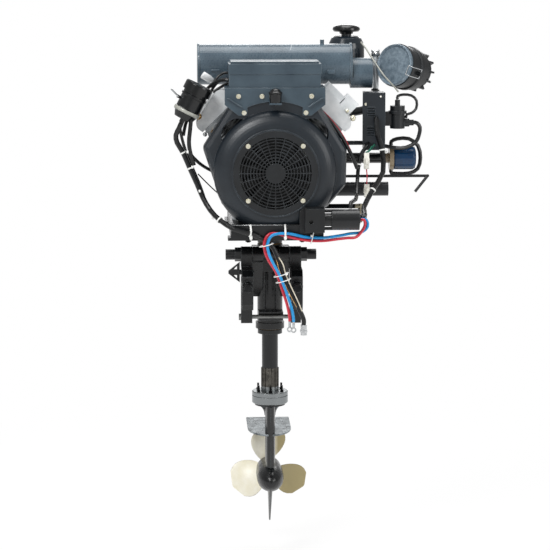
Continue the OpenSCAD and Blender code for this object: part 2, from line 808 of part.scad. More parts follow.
module crankcase() {
  front = -case_front;
  wall = case_r - web_r - throw / 3;
  half = sump_w / 2;
  boss_y = -left_y / 2;
  color(silver) difference() {
    union() {
      bar_y(case_r, front, case_back, 0, crank_z);
      slab_y([[-half, feet_z], [half, feet_z], [half, crank_z - case_r / 2], [case_r * 0.9, crank_z],
        [-case_r * 0.9, crank_z], [-half, crank_z - case_r / 2]], front, case_back);
      for (p = foot_bolts) difference() {
        translate([p[0], p[1], base_top]) cylinder(r = feet_h, h = feet_h);
        bar_z(base_t / 2 + run, base_top - cut, feet_z + cut, p[0], p[1]);
      }
      for (y = [front, case_back - feet_h * 2]) block(-half, half, y, y + feet_h * 2, base_top, feet_z +
          cut);
      for (s = [-1, 1]) bank(s) translate([0, 0, case_r * 0.6]) cylinder(r = barrel_r + wall / 5, h = deck
        - case_r * 0.6);
      // Bosses for the oil filter, the regulator's stay and the throttle rod
      bar_x(oil_r / 2, case_r * 0.8, case_r * 1.1, oil_y, oil_z);
      bar_x(rod_r * 2, case_r * 0.5, case_r, stay_y, stay_z);
      bar_x(rod_r * 2.5, case_r * 0.7, case_r * 1.3, boss_y, crank_z - case_r * 0.36);
    }
    bar_y(web_r + throw / 3, front + wall, case_back - wall, 0, crank_z);
    bar_y(journal_r + run, front - cut, case_back + cut, 0, crank_z);
    for (s = [-1, 1]) bank(s) cylinder(r = cyl_bore_r - wall / 5, h = deck + cut);
    bar_x(rod_r + run, case_r * 0.9, case_r * 1.3 + cut, boss_y, crank_z - case_r * 0.36);
  }
}

module cylinders() {
  color(silver) for (s = [-1, 1]) bank(s) difference() {
    union() {
      translate([0, 0, deck]) cylinder(r = barrel_r, h = head_d - deck);
      for (i = [0:fins_n - 1]) translate([-fin_w / 2, -fin_w / 2, deck + fin_t + i * fin_pitch])
        cube([fin_w, fin_w, fin_t]);
    }
    translate([0, 0, deck - cut]) cylinder(r = cyl_bore_r, h = head_d - deck + cut * 2);
  }
}

module cylinder_heads() {
  half = fin_w / 2;
  color(silver) for (s = [-1, 1]) bank(s) {
    translate([-half, -half, head_d]) cube([fin_w, fin_w, head_h]);
    for (i = [0:2]) translate([-half - fin_t * 2, -half, head_d + fin_t + i * fin_pitch])
      cube([fin_w + fin_t * 4, fin_w, fin_t]);
    // Port bosses above and below, and the injector
    translate([-s * half, 0, head_d + head_h / 2]) rotate([0, -s * 90, 0]) cylinder(r = head_h * 0.45, h =
        head_h * 0.6);
    translate([half * 0.5 * s, -half, head_d + head_h / 2]) rotate([90, 0, 0]) cylinder(r = head_h * 0.3,
        h = fin_t * 2);
  }
}

// Rocker cover: a long half round on a flange
module rocker_cover(s) {
  half = cover_l / 2;
  w = cover_w / 2;
  r = cover_h / 2;
  z = head_d + head_h;
  bank(s) difference() {
    translate([0, 0, z]) rotate([0, s * cover_slant, 0]) {
      translate([-half, -w, -head_h / 3]) cube([cover_l, cover_w, head_h / 3 + r]);
      translate([-half + r, 0, r]) rotate([90, 0, 90]) cylinder(r = r * 1.2, h = cover_l - r * 2, $fn =
          few);
      translate([-half + r, 0, r]) rotate([90, 0, 0]) translate([0, 0, -w]) cylinder(r = r, h = cover_w);
      translate([half - r, 0, r]) rotate([90, 0, 0]) translate([0, 0, -w]) cylinder(r = r, h = cover_w);
      translate([-half + r, -w, r]) cube([cover_l - r * 2, cover_w, r]);
    }
    translate([-cover_l, -cover_l, head_d]) cube([cover_l * 2, cover_l * 2, head_h]);
  }
}

module rocker_covers() {
  color(silver) {
    rocker_cover(-1);
    rocker_cover(1);
    // Breather chamber on the right cover
    bank(1) translate([0, 0, head_d + head_h + cover_h * 0.8]) {
      translate([-cover_l * 0.45, -cover_w * 0.45, 0]) cube([cover_l * 0.45, cover_w * 0.7, cover_h * 0.7]);
      translate([cover_l * 0.02, -cover_w * 0.45, cover_h * 0.1]) cube([cover_l * 0.3, cover_w * 0.7, cover_h
          * 0.9]);
    }
  }
}

// Corners of the cowl as shares of its half width, from the crank axis; each is rounded
corner_shares = [[-0.46, -0.61], [0.30, -0.61], [0.68, -0.42], [0.90, -0.16], [0.91, 0.28],
  [0.50, 0.95], [-0.50, 0.95], [-0.90, 0.32], [-0.66, -0.40]];
cowl_arc = 4;
// Points round the cowl at y, with arcs of radius r about its corners
function cowl_ring(y, r) = let (c = corner_shares * cowl_half, n = len(c))
  [for (k = [0:n - 1], j = [0:cowl_arc])
    let (d = c[k] - c[(k + n - 1) % n], e = c[(k + 1) % n] - c[k], a0 = atan2(d[1], d[0]) - 90,
      turn = (atan2(e[1], e[0]) - 90 - a0 + 720) % 360, a = a0 + turn * j / cowl_arc)
    [c[k][0] + r * cos(a), y, crank_z + c[k][1] + r * sin(a)]];

// A closed skin over rings of points, the first ring at the front
module loft(rings) {
  n = len(rings[0]);
  m = len(rings);
  polyhedron([for (r = rings) each r], concat([for (i = [0:m - 2], k = [0:n - 1])
    [i * n + k, i * n + (k + 1) % n, (i + 1) * n + (k + 1) % n, (i + 1) * n + k]],
    [[for (k = [n - 1:-1:0]) k]], [[for (k = [0:n - 1]) (m - 1) * n + k]]));
}

module fan_cowl() {
  steps = 10;
  w = cowl_wall;
  lip = ring_r - grille_r;
  floor_z = base_top + gap;
  outer = [for (i = [0:steps]) let (a = 90 * i / steps)
    [ring_r + (dome_r - ring_r) * cos(a), cowl_front + cut - (dome_h + cut) * sin(a)]];
  inner = [for (i = [0:steps]) let (a = 90 * i / steps)
    [ring_r + (dome_r - w - ring_r) * cos(a), cowl_front + cut * 2 - (dome_h + cut * 2 - w) * sin(a)]];
  color(charcoal) union() {
    difference() {
      loft([cowl_ring(cowl_front, cowl_round * 0.2), cowl_ring(cowl_front + cowl_round * 0.2, cowl_round *
          0.7),
        cowl_ring(cowl_front + cowl_round, cowl_round), cowl_ring(cowl_back, cowl_round)]);
      loft([cowl_ring(cowl_front + w, cowl_round * 0.2), cowl_ring(cowl_front + cowl_round, cowl_round -
          w),
        cowl_ring(cowl_back - w, cowl_round - w)]);
      difference() {
        bar_y(dome_r - w, cowl_front - cut, cowl_back - w * 2, 0, crank_z);
        block(-dome_r, dome_r, cowl_front - w, 0, crank_z - dome_r, floor_z + w * 2);
      }
      bar_y(journal_r * 2, cowl_back - w * 2, cowl_back + cut, 0, crank_z);
      // Outlets to the fins
      for (s = [-1, 1]) bank(s) translate([0, 0, (deck + head_d) / 2]) rotate([90, 0, 0])
        cylinder(r = fin_w * 0.4, h = case_front + cowl_depth, center = true);
    }
    difference() {
      turned_y(concat([[0, cowl_front + cut]], outer, [[ring_r, ring_front], [0, ring_front]]), 0,
          crank_z);
      difference() {
        turned_y(concat([[0, cowl_front + cut * 2]], inner, [[0, grille_y + w]]), 0, crank_z);
        block(-dome_r, dome_r, ring_front, 0, crank_z - dome_r, floor_z + w);
      }
      bar_y(slot_r + lip, ring_front - cut, grille_y + w * 2, 0, crank_z);
      bar_y(grille_r + gap, ring_front - cut, grille_y, 0, crank_z);
      block(-dome_r, dome_r, ring_front - cut, 0, crank_z - dome_r - cut, floor_z);
    }
  }
}

module cover_plate() {
  half = plate_w / 2;
  steps = 12;
  ear = plate_arc_r * 0.39;
  a0 = acos(ear / plate_arc_r);
  arc = [for (i = [0:steps]) let (a = a0 + (180 - 2 * a0) * i / steps)
    [plate_arc_r * cos(a), crank_z + plate_arc_r * sin(a)]];
  low = crank_z + plate_top * 0.67;
  rib = sheet_t * 0.8;
  color(charcoal) {
    difference() {
      union() {
        slab_y(concat([[half, deck_z], [half, crank_z + plate_top * 0.80], [half * 0.72, low], [ear,
            low]],
          arc, [[-ear, low], [-half * 0.72, low], [-half, crank_z + plate_top * 0.80], [-half, deck_z]]),
          plate_y, plate_y + sheet_t);
        // Top flange under the electrics box
        block(-half, half, plate_y, plate_y + box_d + sheet_t * 2, deck_z - sheet_t, deck_z);
        // Gusset ribs and the shelf of the oil plug
        for (s = [-1, 1]) slab_y([[s * half * 0.95, crank_z + plate_top * 0.88],
          [s * (half * 0.95 - rib), crank_z + plate_top * 0.88], [s * (half * 0.68 - rib), low + rib * 6],
          [s * half * 0.68, low + rib * 6]], plate_y - rib * 2.5, plate_y + cut);
        block(-half * 0.12, half * 0.12, plate_y - half * 0.26, plate_y + cut, deck_z - half * 0.32,
          deck_z - half * 0.32 + sheet_t);
      }
      bar_z(rod_r + run, deck_z - half * 0.4, deck_z - half * 0.2, 0, plate_y - half * 0.15);
      for (p = plate_screws) bar_y(screw_cap_r / 2 + run, plate_y - cut, plate_y + sheet_t + cut, p[0],
          p[1]);
    }
  }
}

// Places of the cover screws, [x, z]
plate_screws = [[-plate_w * 0.363, crank_z + plate_top * 0.90], [-plate_w * 0.13, crank_z + plate_top *
    0.90],
  [plate_w * 0.363, crank_z + plate_top * 0.90], [-plate_w * 0.307, crank_z + plate_top * 0.705],
  [plate_w * 0.307, crank_z + plate_top * 0.705]];

module fan_grille() {
  lug = screw_cap_r * 1.7;
  step = (slot_r - grille_hub_r) / (rings_n + 0.5);
  color(black) translate([0, grille_y, crank_z]) rotate([90, 0, 0]) linear_extrude(grille_t) difference()
      {
    union() {
      difference() {
        circle(r = grille_r, $fn = 96);
        circle(r = slot_r, $fn = 96);
      }
      circle(r = grille_hub_r);
      for (i = [1:rings_n]) difference() {
        circle(r = grille_hub_r + i * step, $fn = 96);
        circle(r = grille_hub_r + i * step - bar_w, $fn = 96);
      }
      for (i = [0:spokes_n - 1]) rotate(360 * i / spokes_n)
        translate([grille_hub_r - cut, -bar_w / 2]) square([slot_r - grille_hub_r + cut * 2, bar_w]);
      for (i = [0:3]) rotate(45 + 90 * i) translate([grille_screw_r, 0]) intersection() {
        circle(r = lug);
        translate([-grille_screw_r, 0]) circle(r = grille_r - gap);
      }
    }
    for (i = [0:3]) rotate(45 + 90 * i) translate([grille_screw_r, 0]) circle(r = screw_cap_r / 2 + run);
  }
}

// Screw with a washer and hexagon head facing the bow; y is the face it sits on
module cap_screw(x, z, y, l) {
  translate([x, y, z]) rotate([90, 0, 0]) {
    translate([0, 0, -l]) cylinder(r = screw_cap_r / 2, h = l + cut);
    cylinder(r = screw_cap_r, h = screw_cap_h / 4);
    hex(screw_cap_r * 0.86, screw_cap_h);
  }
}

// Point at a distance k out from a head's inner side, on the axis of its exhaust port
port_d = head_d + head_h / 2;
function port(s, k) = [s * (port_d * sin(bank_angle) - (fin_w / 2 + k) * cos(bank_angle)),
  s < 0 ? -left_y : -right_y, crank_z + port_d * cos(bank_angle) + (fin_w / 2 + k) * sin(bank_angle)];

module muffler() {
  r = muffler_r;
  lip = r * 0.05;
  outlet_z = muffler_z - r + outlet_r * 0.74;
  color(charcoal) {
    difference() {
      union() {
        bar_x(r, -muffler_left, muffler_right, muffler_at, muffler_z);
        for (x = [-muffler_left - lip, muffler_right - lip]) bar_x(r + lip, x, x + lip * 2, muffler_at,
            muffler_z);
        bar_x(outlet_r, muffler_right, muffler_right + outlet_l, muffler_at, outlet_z);
        bar_y(outlet_r / 2, muffler_at, muffler_at + outlet_r * 1.3, muffler_right + outlet_l / 2,
            outlet_z);
      }
      bar_y(outlet_r / 2 - lip, muffler_at + outlet_r / 2, muffler_at + outlet_r * 1.3 + cut,
        muffler_right + outlet_l / 2, outlet_z);
      for (x = [-muffler_left - lip * 2, muffler_right + lip]) bar_x(r - lip, x, x + lip, muffler_at,
          muffler_z);
    }
    bar_z(lip * 2, muffler_z, muffler_z + r + lip * 4, muffler_right * 0.64, muffler_at);
    // Pipes from the ports on the inner sides of the heads
    for (s = [-1, 1]) swept(smooth([for (k = [0.6, 0.8, 1]) port(s, head_h * k)], 1), head_h * 0.42, 12);
    for (s = [-1, 1]) swept(smooth([port(s, head_h * 0.9), port(s, head_h), port(s, head_h * 1.4)
      + [0, r * 0.3, 0], [s * r * 1.15, muffler_at - r * 0.8, muffler_z - r * 0.8],
      [s * r * 1.15, muffler_at - r * 0.2, muffler_z - r * 0.5]], 4), head_h * 0.42, 12);
  }
}

module electrics_box() {
  half = box_w / 2;
  y0 = plate_y + sheet_t;
  w = box_wall;
  color(charcoal) difference() {
    block(-half, half, y0, y0 + box_d, deck_z, deck_z + box_h);
    block(-half + w, half - w, y0 + w, y0 + box_d - w, deck_z + w, deck_z + box_h + cut);
    for (i = [0:2]) bar_x(harness_r * 0.8, -half - cut, -half + w + cut, y0 + box_d * (0.3 + 0.2 * i),
      deck_z + box_h * 0.5);
  }
}

module box_lid() {
  half = box_w / 2 + box_wall / 2;
  y0 = plate_y + sheet_t - box_wall / 2;
  d = box_d + box_wall;
  w = box_wall;
  z = deck_z + box_h + gap;
  color(charcoal) difference() {
    union() {
      block(-half, half, y0, y0 + d, z, z + lid_h - w * 2);
      block(-half + w * 2, half - w * 2, y0 + w * 2, y0 + d - w * 2, z, z + lid_h);
      for (x = [-half + w * 4, half - w * 4], y = [y0 + w * 4, y0 + d - w * 4]) bar_z(w * 1.6, z, z +
          lid_h, x, y);
    }
    block(-half + w * 1.5, half - w * 1.5, y0 + w * 1.5, y0 + d - w * 1.5, z - cut, z + lid_h - w * 3);
  }
}

module fuel_tank() {
  r = tank_r;
  h = tank_h;
  color(charcoal) {
    translate([tank_x, tank_y, tank_z]) rotate_extrude() polygon([[0, 0], [r * 0.94, 0], [r, h * 0.04],
      [r * 0.97, h * 0.72], [r * 0.92, h * 0.84], [r * 0.80, h * 0.95], [r * 0.66, h], [neck_r, h],
      [neck_r, h + neck_h], [0, h + neck_h]]);
    // Saddle against the silencer
    difference() {
      block(tank_x - r / 2, muffler_right - muffler_r * 0.1, muffler_at + muffler_r * 0.6,
        tank_y - r * 0.8, muffler_z - muffler_r / 3, muffler_z + muffler_r / 3);
      bar_x(muffler_r + run, tank_x - r, tank_x + r, muffler_at, muffler_z);
    }
  }
}

module tank_cap() {
  z = tank_z + tank_h + neck_h * 0.4;
  r = cap_r;
  h = cap_h;
  steps = 6;
  color(black) translate([tank_x, tank_y, z]) rotate_extrude() polygon(concat(
    [[0, neck_h * 0.6 + gap], [neck_r + gap, neck_h * 0.6 + gap], [neck_r + gap, 0], [neck_r * 1.3, 0],
    [neck_r * 1.5, h * 0.3], [r * 0.92, h * 0.25], [r, h * 0.42]],
    [for (i = [1:steps]) let (a = 90 * i / steps) [r * (0.35 + 0.65 * cos(a)), h * (0.5 + 0.5 * sin(a))]],
    [[0, h]]));
}

// Frame of the air filter: +Z runs from its front face back through the housing
module at_filter() {
  translate([air_x, -air_y, air_z]) rotate([0, air_lean, air_turn]) children();
}

module filter_housing() {
  t = air_cover_t;
  r = air_r;
  l = air_l;
  foot = [reg_x + reg_w * 0.7, rod_r, reg_z + reg_h];
  head = [foot[0], foot[1], air_z + r * 0.2];
  axis = [sin(air_lean) * cos(air_turn), sin(air_lean) * sin(air_turn), cos(air_lean)];
  inside = [air_x, -air_y, air_z] + axis * l * 0.45;
  inlet = [(port_d - fin_w * 0.18) * sin(bank_angle), fin_w / 2 - right_y,
    crank_z + (port_d + fin_w * 0.18) * cos(bank_angle)];
  color(black) {
    at_filter() {
      rotate_extrude() polygon([[0, t + gap], [r * 1.04, t + gap], [r * 1.04, t * 1.8], [r, t * 1.8],
        [r, l * 0.40], [r * 1.06, l * 0.42], [r * 1.06, l * 0.5], [r, l * 0.52], [r * 0.97, l * 0.72],
        [r * 0.80, l * 0.76], [r * 0.80, l * 0.9], [r * 0.6, l], [0, l]]);
      for (i = [0:11]) rotate(30 * i) translate([r * 0.76, -fin_t, l * 0.72]) cube([r * 0.2, fin_t * 2, l
          * 0.2]);
    }
    rod(foot, head, head_h * 0.25);
    rod(head - [0, 0, head_h * 0.25], inside, head_h * 0.25);
    // Duct down to the inlet side of the right head
    swept(smooth([foot + [0, 0, cut], foot - [r * 0.1, 0, r * 0.4], foot - [r * 0.6, 0, r],
      inlet + [r, -inlet[1], -r * 0.2], inlet + [r * 0.2, r * 1.2, 0], inlet + [0, r * 0.7, 0],
      inlet + [0, r * 0.3, 0], inlet], 3), head_h * 0.4, 10);
    // Lug for the clip
    at_filter() rotate(-75) difference() {
      translate([r * 0.98, -r * 0.1, l * 0.34 - fin_t * 1.2]) cube([r * 0.21, r * 0.2, fin_t * 2.4]);
      translate([clip_r, r, l * 0.34]) rotate([90, 0, 0]) cylinder(r = fin_t / 2 + run, h = r * 2);
    }
  }
}

module filter_cover() {
  t = air_cover_t;
  r = air_r;
  color(steel) at_filter() rotate_extrude() polygon([[0, t * 0.25], [r * 0.30, t * 0.2], [r * 0.86, t *
      0.35],
    [r * 0.90, 0], [r * 0.97, -t * 0.15], [r, t * 0.2], [r, t], [0, t]]);
}

// Distance of the clip's pivot from the filter's axis
clip_r = air_r * 1.14;
// Wire clip: pivots in its lug, runs forward and hooks over the cover's edge
module filter_clip() {
  r = air_r;
  wire = fin_t;
  front = -air_cover_t * 0.3;
  color(silver) at_filter() rotate(-75) {
    for (s = [-1, 1]) {
      translate([clip_r, s * r * 0.22, front]) cylinder(r = wire / 2, h = air_l * 0.34 - front);
      translate([r * 0.93, s * r * 0.22, front]) rotate([0, 90, 0]) cylinder(r = wire / 2, h = clip_r - r
          * 0.93);
    }
    translate([clip_r, r * 0.22 + wire / 2, air_l * 0.34]) rotate([90, 0, 0])
      cylinder(r = wire / 2, h = r * 0.44 + wire);
    translate([r * 0.93, r * 0.22 + wire / 2, front]) rotate([90, 0, 0])
      cylinder(r = wire / 2, h = r * 0.44 + wire);
    for (s = [-1, 1]) translate([clip_r, s * r * 0.22, front]) sphere(r = wire / 2);
  }
}

module regulator_box() {
  y0 = reg_back - reg_d / 2;
  x1 = reg_x + reg_w;
  color(charcoal) difference() {
    union() {
      block(reg_x, x1, y0, y0 + reg_d, reg_z, reg_z + reg_h);
      block(reg_x - reg_w * 0.1, x1, y0 - sheet_t / 2, y0, reg_z + reg_h * 0.12, reg_z + reg_h);
      // Louvres in two groups
      for (g = [0.28, 0.62], i = [0:3]) bar_x(fin_t, reg_x + reg_w * 0.12, reg_x + reg_w * 0.5, y0 -
          sheet_t / 2,
        reg_z + reg_h * g + i * fin_t * 2.6);
      bar_y(screw_cap_r * 0.7, y0 - sheet_t, y0, x1 - screw_cap_r * 1.6, reg_z + reg_h * 0.94);
      // Stay to the crankcase
      bar_x(rod_r * 1.5, case_r, reg_x + cut, stay_y, stay_z);
    }
    for (g = [0.28, 0.62], i = [0:3]) block(reg_x + reg_w * 0.14, reg_x + reg_w * 0.48, y0 - sheet_t,
      y0 + fin_t, reg_z + reg_h * g + i * fin_t * 2.6 - fin_t * 1.5, reg_z + reg_h * g + i * fin_t * 2.6 -
          fin_t / 2);
  }
}

module oil_filter() {
  y = oil_y;
  x0 = oil_x;
  r = oil_r;
  l = oil_l;
  color(blue) {
    translate([x0, y, oil_z]) rotate([0, 90, 0]) rotate_extrude() polygon([[0, 0], [r * 0.92, 0],
      [r, r * 0.08], [r, l * 0.86], [r * 0.9, l * 0.96], [r * 0.7, l], [0, l]]);
    bar_x(r * 1.04, x0 - l * 0.2, x0, y, oil_z);
    bar_x(r * 0.45, case_r * 1.1, x0 - l * 0.2 + cut, y, oil_z);
  }
}

module fuel_pump() {
  x = reg_x + reg_w;
  y = reg_back;
  r = oil_r * 0.62;
  z = reg_z + pump_rise;
  l = pump_l;
  color(black) {
    bar_z(r, z, z + l, x + r * 1.8, y);
    bar_z(r * 1.25, z + l * 0.65, z + l * 0.78, x + r * 1.8, y);
    bar_x(r * 0.4, x + r * 1.8, x + r * 4, y, z + l * 0.25);
    bar_x(r * 0.55, x + r * 2.6, x + r * 3.4, y, z + l * 0.25);
    bar_z(r * 0.35, z + l, z + l * 1.25, x + r * 1.8, y);
    block(x, x + r * 1.8, y - r * 0.5, y + r * 0.5, z + l * 0.12, z + l * 0.75);
    // Starter solenoid lower down, on the same side
    bar_x(r * 0.95, sump_w / 2, x + r * 0.6, y, crank_z - case_r * 0.72);
  }
}

// Routes of the hoses on the right side, chosen by hand
hose_r = 5.5;
hose_a = [[392, -81, 484], [402, -81, 482], [410, -80, 470], [408, -80, 450], [398, -80, 428], [372, -78,
    414],
  [345, -70, 412], [311, -64, 418]];
hose_b = [[335, -32, 416], [335, -32, 426], [352, -32, 434], [384, -33, 434], [410, -33, 414], [417, -33,
    380],
  [410, -33, 350], [386, -32, 337], [352, -32, 336], [336, -32, 338], [335, -32, 346]];
tube_a = [[347, -81, 548], [347, -81, 557], [364, -80, 561], [386, -78, 558], [400, -78, 544], [399, -79,
    522],
  [386, -81, 510], [373, -81, 506], [371, -81, 496]];

module fuel_lines() {
  color(black) {
    swept(smooth(hose_a, 2), hose_r, 8);
    swept(smooth(hose_b, 2), hose_r, 8);
    swept(smooth(tube_a, 2), hose_r * 0.7, 8);
  }
}

module throttle_lever() {
  y = -left_y / 2;
  z = crank_z - case_r * 0.36;
  low = crank_z - case_r * 0.81;
  color(black) {
    bar_x(rod_r, case_r * 0.95, rod_x, y, z);
    rod([rod_x, y, z], [rod_x * 0.917, y - rod_r * 3, low], rod_r);
    translate([rod_x, y, z]) sphere(r = rod_r * 1.1);
  }
}

module shift_actuator() {
  x0 = base_w * 0.32;
  y0 = -base_front - actuator_d - base_t;
  corner = actuator_w / 4;
  z0 = base_top - base_h / 3;
  y = y0 + actuator_d / 2;
  z = z0 + actuator_h * 0.5;
  x1 = x0 + actuator_w;
  color(black) difference() {
    union() {
      block(x0, x1, y0, y0 + actuator_d, z0, z0 + actuator_h);
      slab_y([[x0 - corner, base_bottom], [x1, base_bottom], [x1, z0 + actuator_h], [x0, z0 + actuator_h],
        [x0 - corner, z0 + actuator_h - corner]], y0 + actuator_d, -base_front);
      bar_x(motor_r * 0.62, x1 - cut, x1 + motor_r, y, z);
      bar_x(motor_r, x1 + motor_r * 0.7, x1 + motor_r * 0.7 + motor_l, y, z);
      bar_x(motor_r * 0.4, x1 + motor_r * 0.7 + motor_l, x1 + motor_r * 0.8 + motor_l, y, z);
      for (s = [-1, 1]) bar_x(motor_r * 0.16, x1 - cut, x1 + motor_r, y, z + s * motor_r * 0.85);
    }
    bar_y(actuator_h * 0.09, y0 - cut, y0 + actuator_d / 3, x0 + actuator_w * 0.3, z0 + actuator_h *
        0.45);
  }
}

module drain_tap() {
  y = -right_y;
  z = feet_z + rod_r * 2.5;
  x = base_w;
  r = rod_r * 1.6;
  color(silver) {
    bar_x(r, sump_w / 2, x, y, z);
    bar_z(r, z - r * 7, z + r, x, y);
    bar_z(r * 1.4, z - r * 6, z - r * 4, x, y);
    bar_x(r * 0.7, x, x + r * 2, y, z - r * 5);
  }
}

module tap_lever() {
  y = -right_y;
  r = rod_r * 1.6;
  z = feet_z + rod_r * 2.5 - r * 5;
  x = base_w + r * 2 + gap;
  color(silver) {
    bar_x(r * 0.9, x, x + r * 0.8, y, z);
    block(x, x + r * 0.8, y - r * 0.6, y + r * 0.6, z, z + r * 3.4);
  }
}

module oil_plug() {
  r = plate_w * 0.068;
  y = plate_y - plate_w * 0.075;
  z = deck_z - plate_w * 0.16 + sheet_t + gap / 2;
  steps = 5;
  color(black) {
    translate([0, y, z]) rotate_extrude() polygon(concat([[0, 0], [r * 0.85, 0], [r * 0.92, r * 1.2],
      [r, r * 1.3], [r, r * 1.5]], [for (i = [1:steps]) let (a = 90 * i / steps)
      [r * 0.85 * cos(a), r * (1.5 + 0.6 * sin(a))]]));
    bar_z(rod_r, z - sheet_t - rod_r, z + cut, 0, y);
  }
}

// Frame of the breather canister: its foot at the origin, its axis along +Z
can_foot = [-244, -222, 514];
module at_canister() {
  translate(can_foot) rotate([0, can_lean, 0]) children();
}

module breather_canister() {
  r = can_r;
  l = can_l;
  color(black) {
    at_canister() {
      rotate_extrude() polygon([[0, -l * 0.06], [r * 0.72, -l * 0.06], [r * 0.9, l * 0.12], [r, l * 0.14],
        [r, l * 0.26], [r * 0.94, l * 0.28], [r * 0.94, l * 0.66], [r * 1.0, l * 0.68], [r * 1.0, l *
            0.74],
        [r * 0.94, l * 0.76], [r * 0.94, l], [0, l]]);
      for (s = [-1, 1]) translate([0, s * r * 0.5, -l * 0.2]) cylinder(r = harness_r * 0.9, h = l * 0.2);
    }
    // Strap back to the rocker cover
    rod(can_foot + [sin(can_lean), 0, cos(can_lean)] * l * 0.4,
      can_foot + [sin(can_lean), 0, cos(can_lean)] * l * 0.4 + [r * 0.3, r * 1.06, -r * 0.3], rod_r * 2);
    // Lug for the bail
    at_canister() difference() {
      translate([-r - rod_r * 1.6, -r * 0.12, l * 0.5 - rod_r]) cube([r * 0.2 + rod_r, r * 0.24, rod_r *
          2]);
      translate([-r - rod_r, r, l * 0.5]) rotate([90, 0, 0]) cylinder(r = rod_r / 2 + run, h = r * 2);
    }
  }
}

module canister_cap() {
  r = can_r * 1.08;
  l = can_l;
  color(black) at_canister() rotate_extrude() polygon([[0, l + gap], [can_r * 0.94 + gap, l + gap],
    [can_r * 0.94 + gap, l * 0.84], [r, l * 0.84], [r, l * 1.08], [r * 0.96, l * 1.12], [r * 0.9, l *
        1.10], [0, l * 1.10]]);
}

module canister_bail() {
  r = can_r;
  wire = rod_r * 0.5;
  color(silver) at_canister() translate([-r - wire * 2, 0, can_l * 0.5]) {
    for (s = [-1, 1]) translate([0, s * r * 0.3, 0]) rotate([0, -70, 0]) cylinder(r = wire, h = r * 0.7);
    for (k = [0, 1]) rotate([0, -70, 0]) translate([0, r * 0.3 + wire, k * r * 0.7]) rotate([90, 0, 0])
      cylinder(r = wire, h = r * 0.6 + wire * 2);
  }
}

// Routes of the looms that the engine holds, chosen by hand
harness_r = 7;
loom_a = [[-252, -240, 498], [-258, -238, 484], [-266, -232, 466], [-263, -228, 445], [-247, -228, 418],
  [-229, -232, 376], [-210, -236, 334], [-194, -246, 297], [-175, -264, 266], [-150, -296, 243],
  [-112, -320, 221], [-69, -316, 208], [-46, -311, 198]];
loom_b = [[-252, -204, 498], [-255, -203, 484], [-250, -202, 455], [-240, -206, 420], [-224, -212, 380],
  [-206, -218, 338], [-194, -230, 306], [-188, -248, 288]];
loom_d = [[-123, -209, 612], [-140, -200, 612], [-162, -180, 602], [-186, -173, 580], [-208, -173, 548],
  [-228, -176, 518], [-240, -186, 490], [-246, -200, 462]];
loom_f = [[284, -119, 497], [284, -126, 497], [284, -133, 497], [286, -152, 455], [298, -160, 416],
  [300, -170, 356], [270, -190, 309], [242, -240, 268], [240, -294, 256], [236, -315, 254], [225, -316, 254]];
loom_g = [[264, -119, 430], [259, -134, 424], [244, -150, 408], [234, -160, 375], [229, -180, 336],
  [224, -220, 300], [216, -280, 294], [201, -322, 292], [198, -331, 277]];

module wiring_harness() {
  color(black) {
    swept(smooth(loom_a, 2), harness_r, 10);
    swept(smooth(loom_b, 2), harness_r * 0.6, 8);
    swept(smooth(loom_d, 2), harness_r * 0.7, 8);
    swept(smooth(loom_f, 2), harness_r, 10);
    swept(smooth(loom_g, 2), harness_r * 0.8, 8);
  }
}

// Round tie about a route p at its point i
module tie(p, i, r) {
  d = p[i + 1] - p[i - 1];
  w = fin_t * 1.6;
  translate(p[i]) rotate([0, acos(d[2] / norm(d)), atan2(d[1], d[0])]) translate([0, 0, -w / 2])
      difference() {
    cylinder(r = r + fin_t * 0.8, h = w);
    translate([0, 0, -cut]) cylinder(r = r + gap, h = w + cut * 2);
  }
}

module cable_ties() {
  color(white) {
    for (i = [4, 5, 9, 11]) tie(loom_a, i, harness_r);
    for (i = [4, 6]) tie(loom_f, i, harness_r);
    tie(loom_g, 3, harness_r * 0.8);
  }
}

// Free leads that hang in front of the clamp, chosen by hand
lead_r = 4;
lead_red = [[226, -336, 247], [236, -336, 245], [236, -331, 226], [216, -328, 200], [190, -323, 196],
  [166, -320, 193], [124, -318, 188], [78, -316, 190], [32, -316, 200], [-2, -316, 209], [-21, -318, 204],
  [-31, -320, 184], [-29, -320, 159], [-19, -320, 135], [-3, -320, 110], [8, -320, 83], [19, -320, 50],
  [30, -320, 15], [36, -320, -14], [37, -320, -30]];
lead_blue = [[226, -326, 247], [242, -326, 245], [245, -325, 226], [229, -319, 211], [198, -324, 208],
  [172, -324, 203], [124, -322, 197], [78, -320, 199], [38, -322, 208], [5, -326, 209], [-14, -328, 202],
  [-23, -330, 180], [-19, -330, 155], [-8, -331, 130], [5, -331, 106], [16, -331, 81], [29, -331, 46],
  [40, -331, 13], [46, -331, -14], [47, -331, -30]];
lead_loom = [[-45, -311, 197], [-28, -309, 187], [-10, -308, 172], [2, -309, 150], [10, -311, 126],
  [18, -313, 99], [29, -316, 72], [45, -318, 39], [61, -318, 6],
  [74, -318, -24], [75, -318, -40]];

module lead_red() {
  color(red) swept(smooth(lead_red, 2), lead_r, 8);
}

module lead_blue() {
  color(blue) swept(smooth(lead_blue, 2), lead_r, 8);
}

module lead_loom() {
  color(black) swept(smooth(lead_loom, 2), lead_r * 1.6, 8);
}

// Ring terminal on the end of a lead that comes down to p
module ring_end(p, r) {
  translate(p) {
    translate([0, 0, -r * 4]) cylinder(r = r * 0.9, h = r * 4);
    translate([0, -r / 4, -r * 5.5]) rotate([-90, 0, 0]) difference() {
      cylinder(r = r * 1.9, h = r / 2);
      translate([0, 0, -cut]) cylinder(r = r, h = r + cut * 2);
    }
  }
}

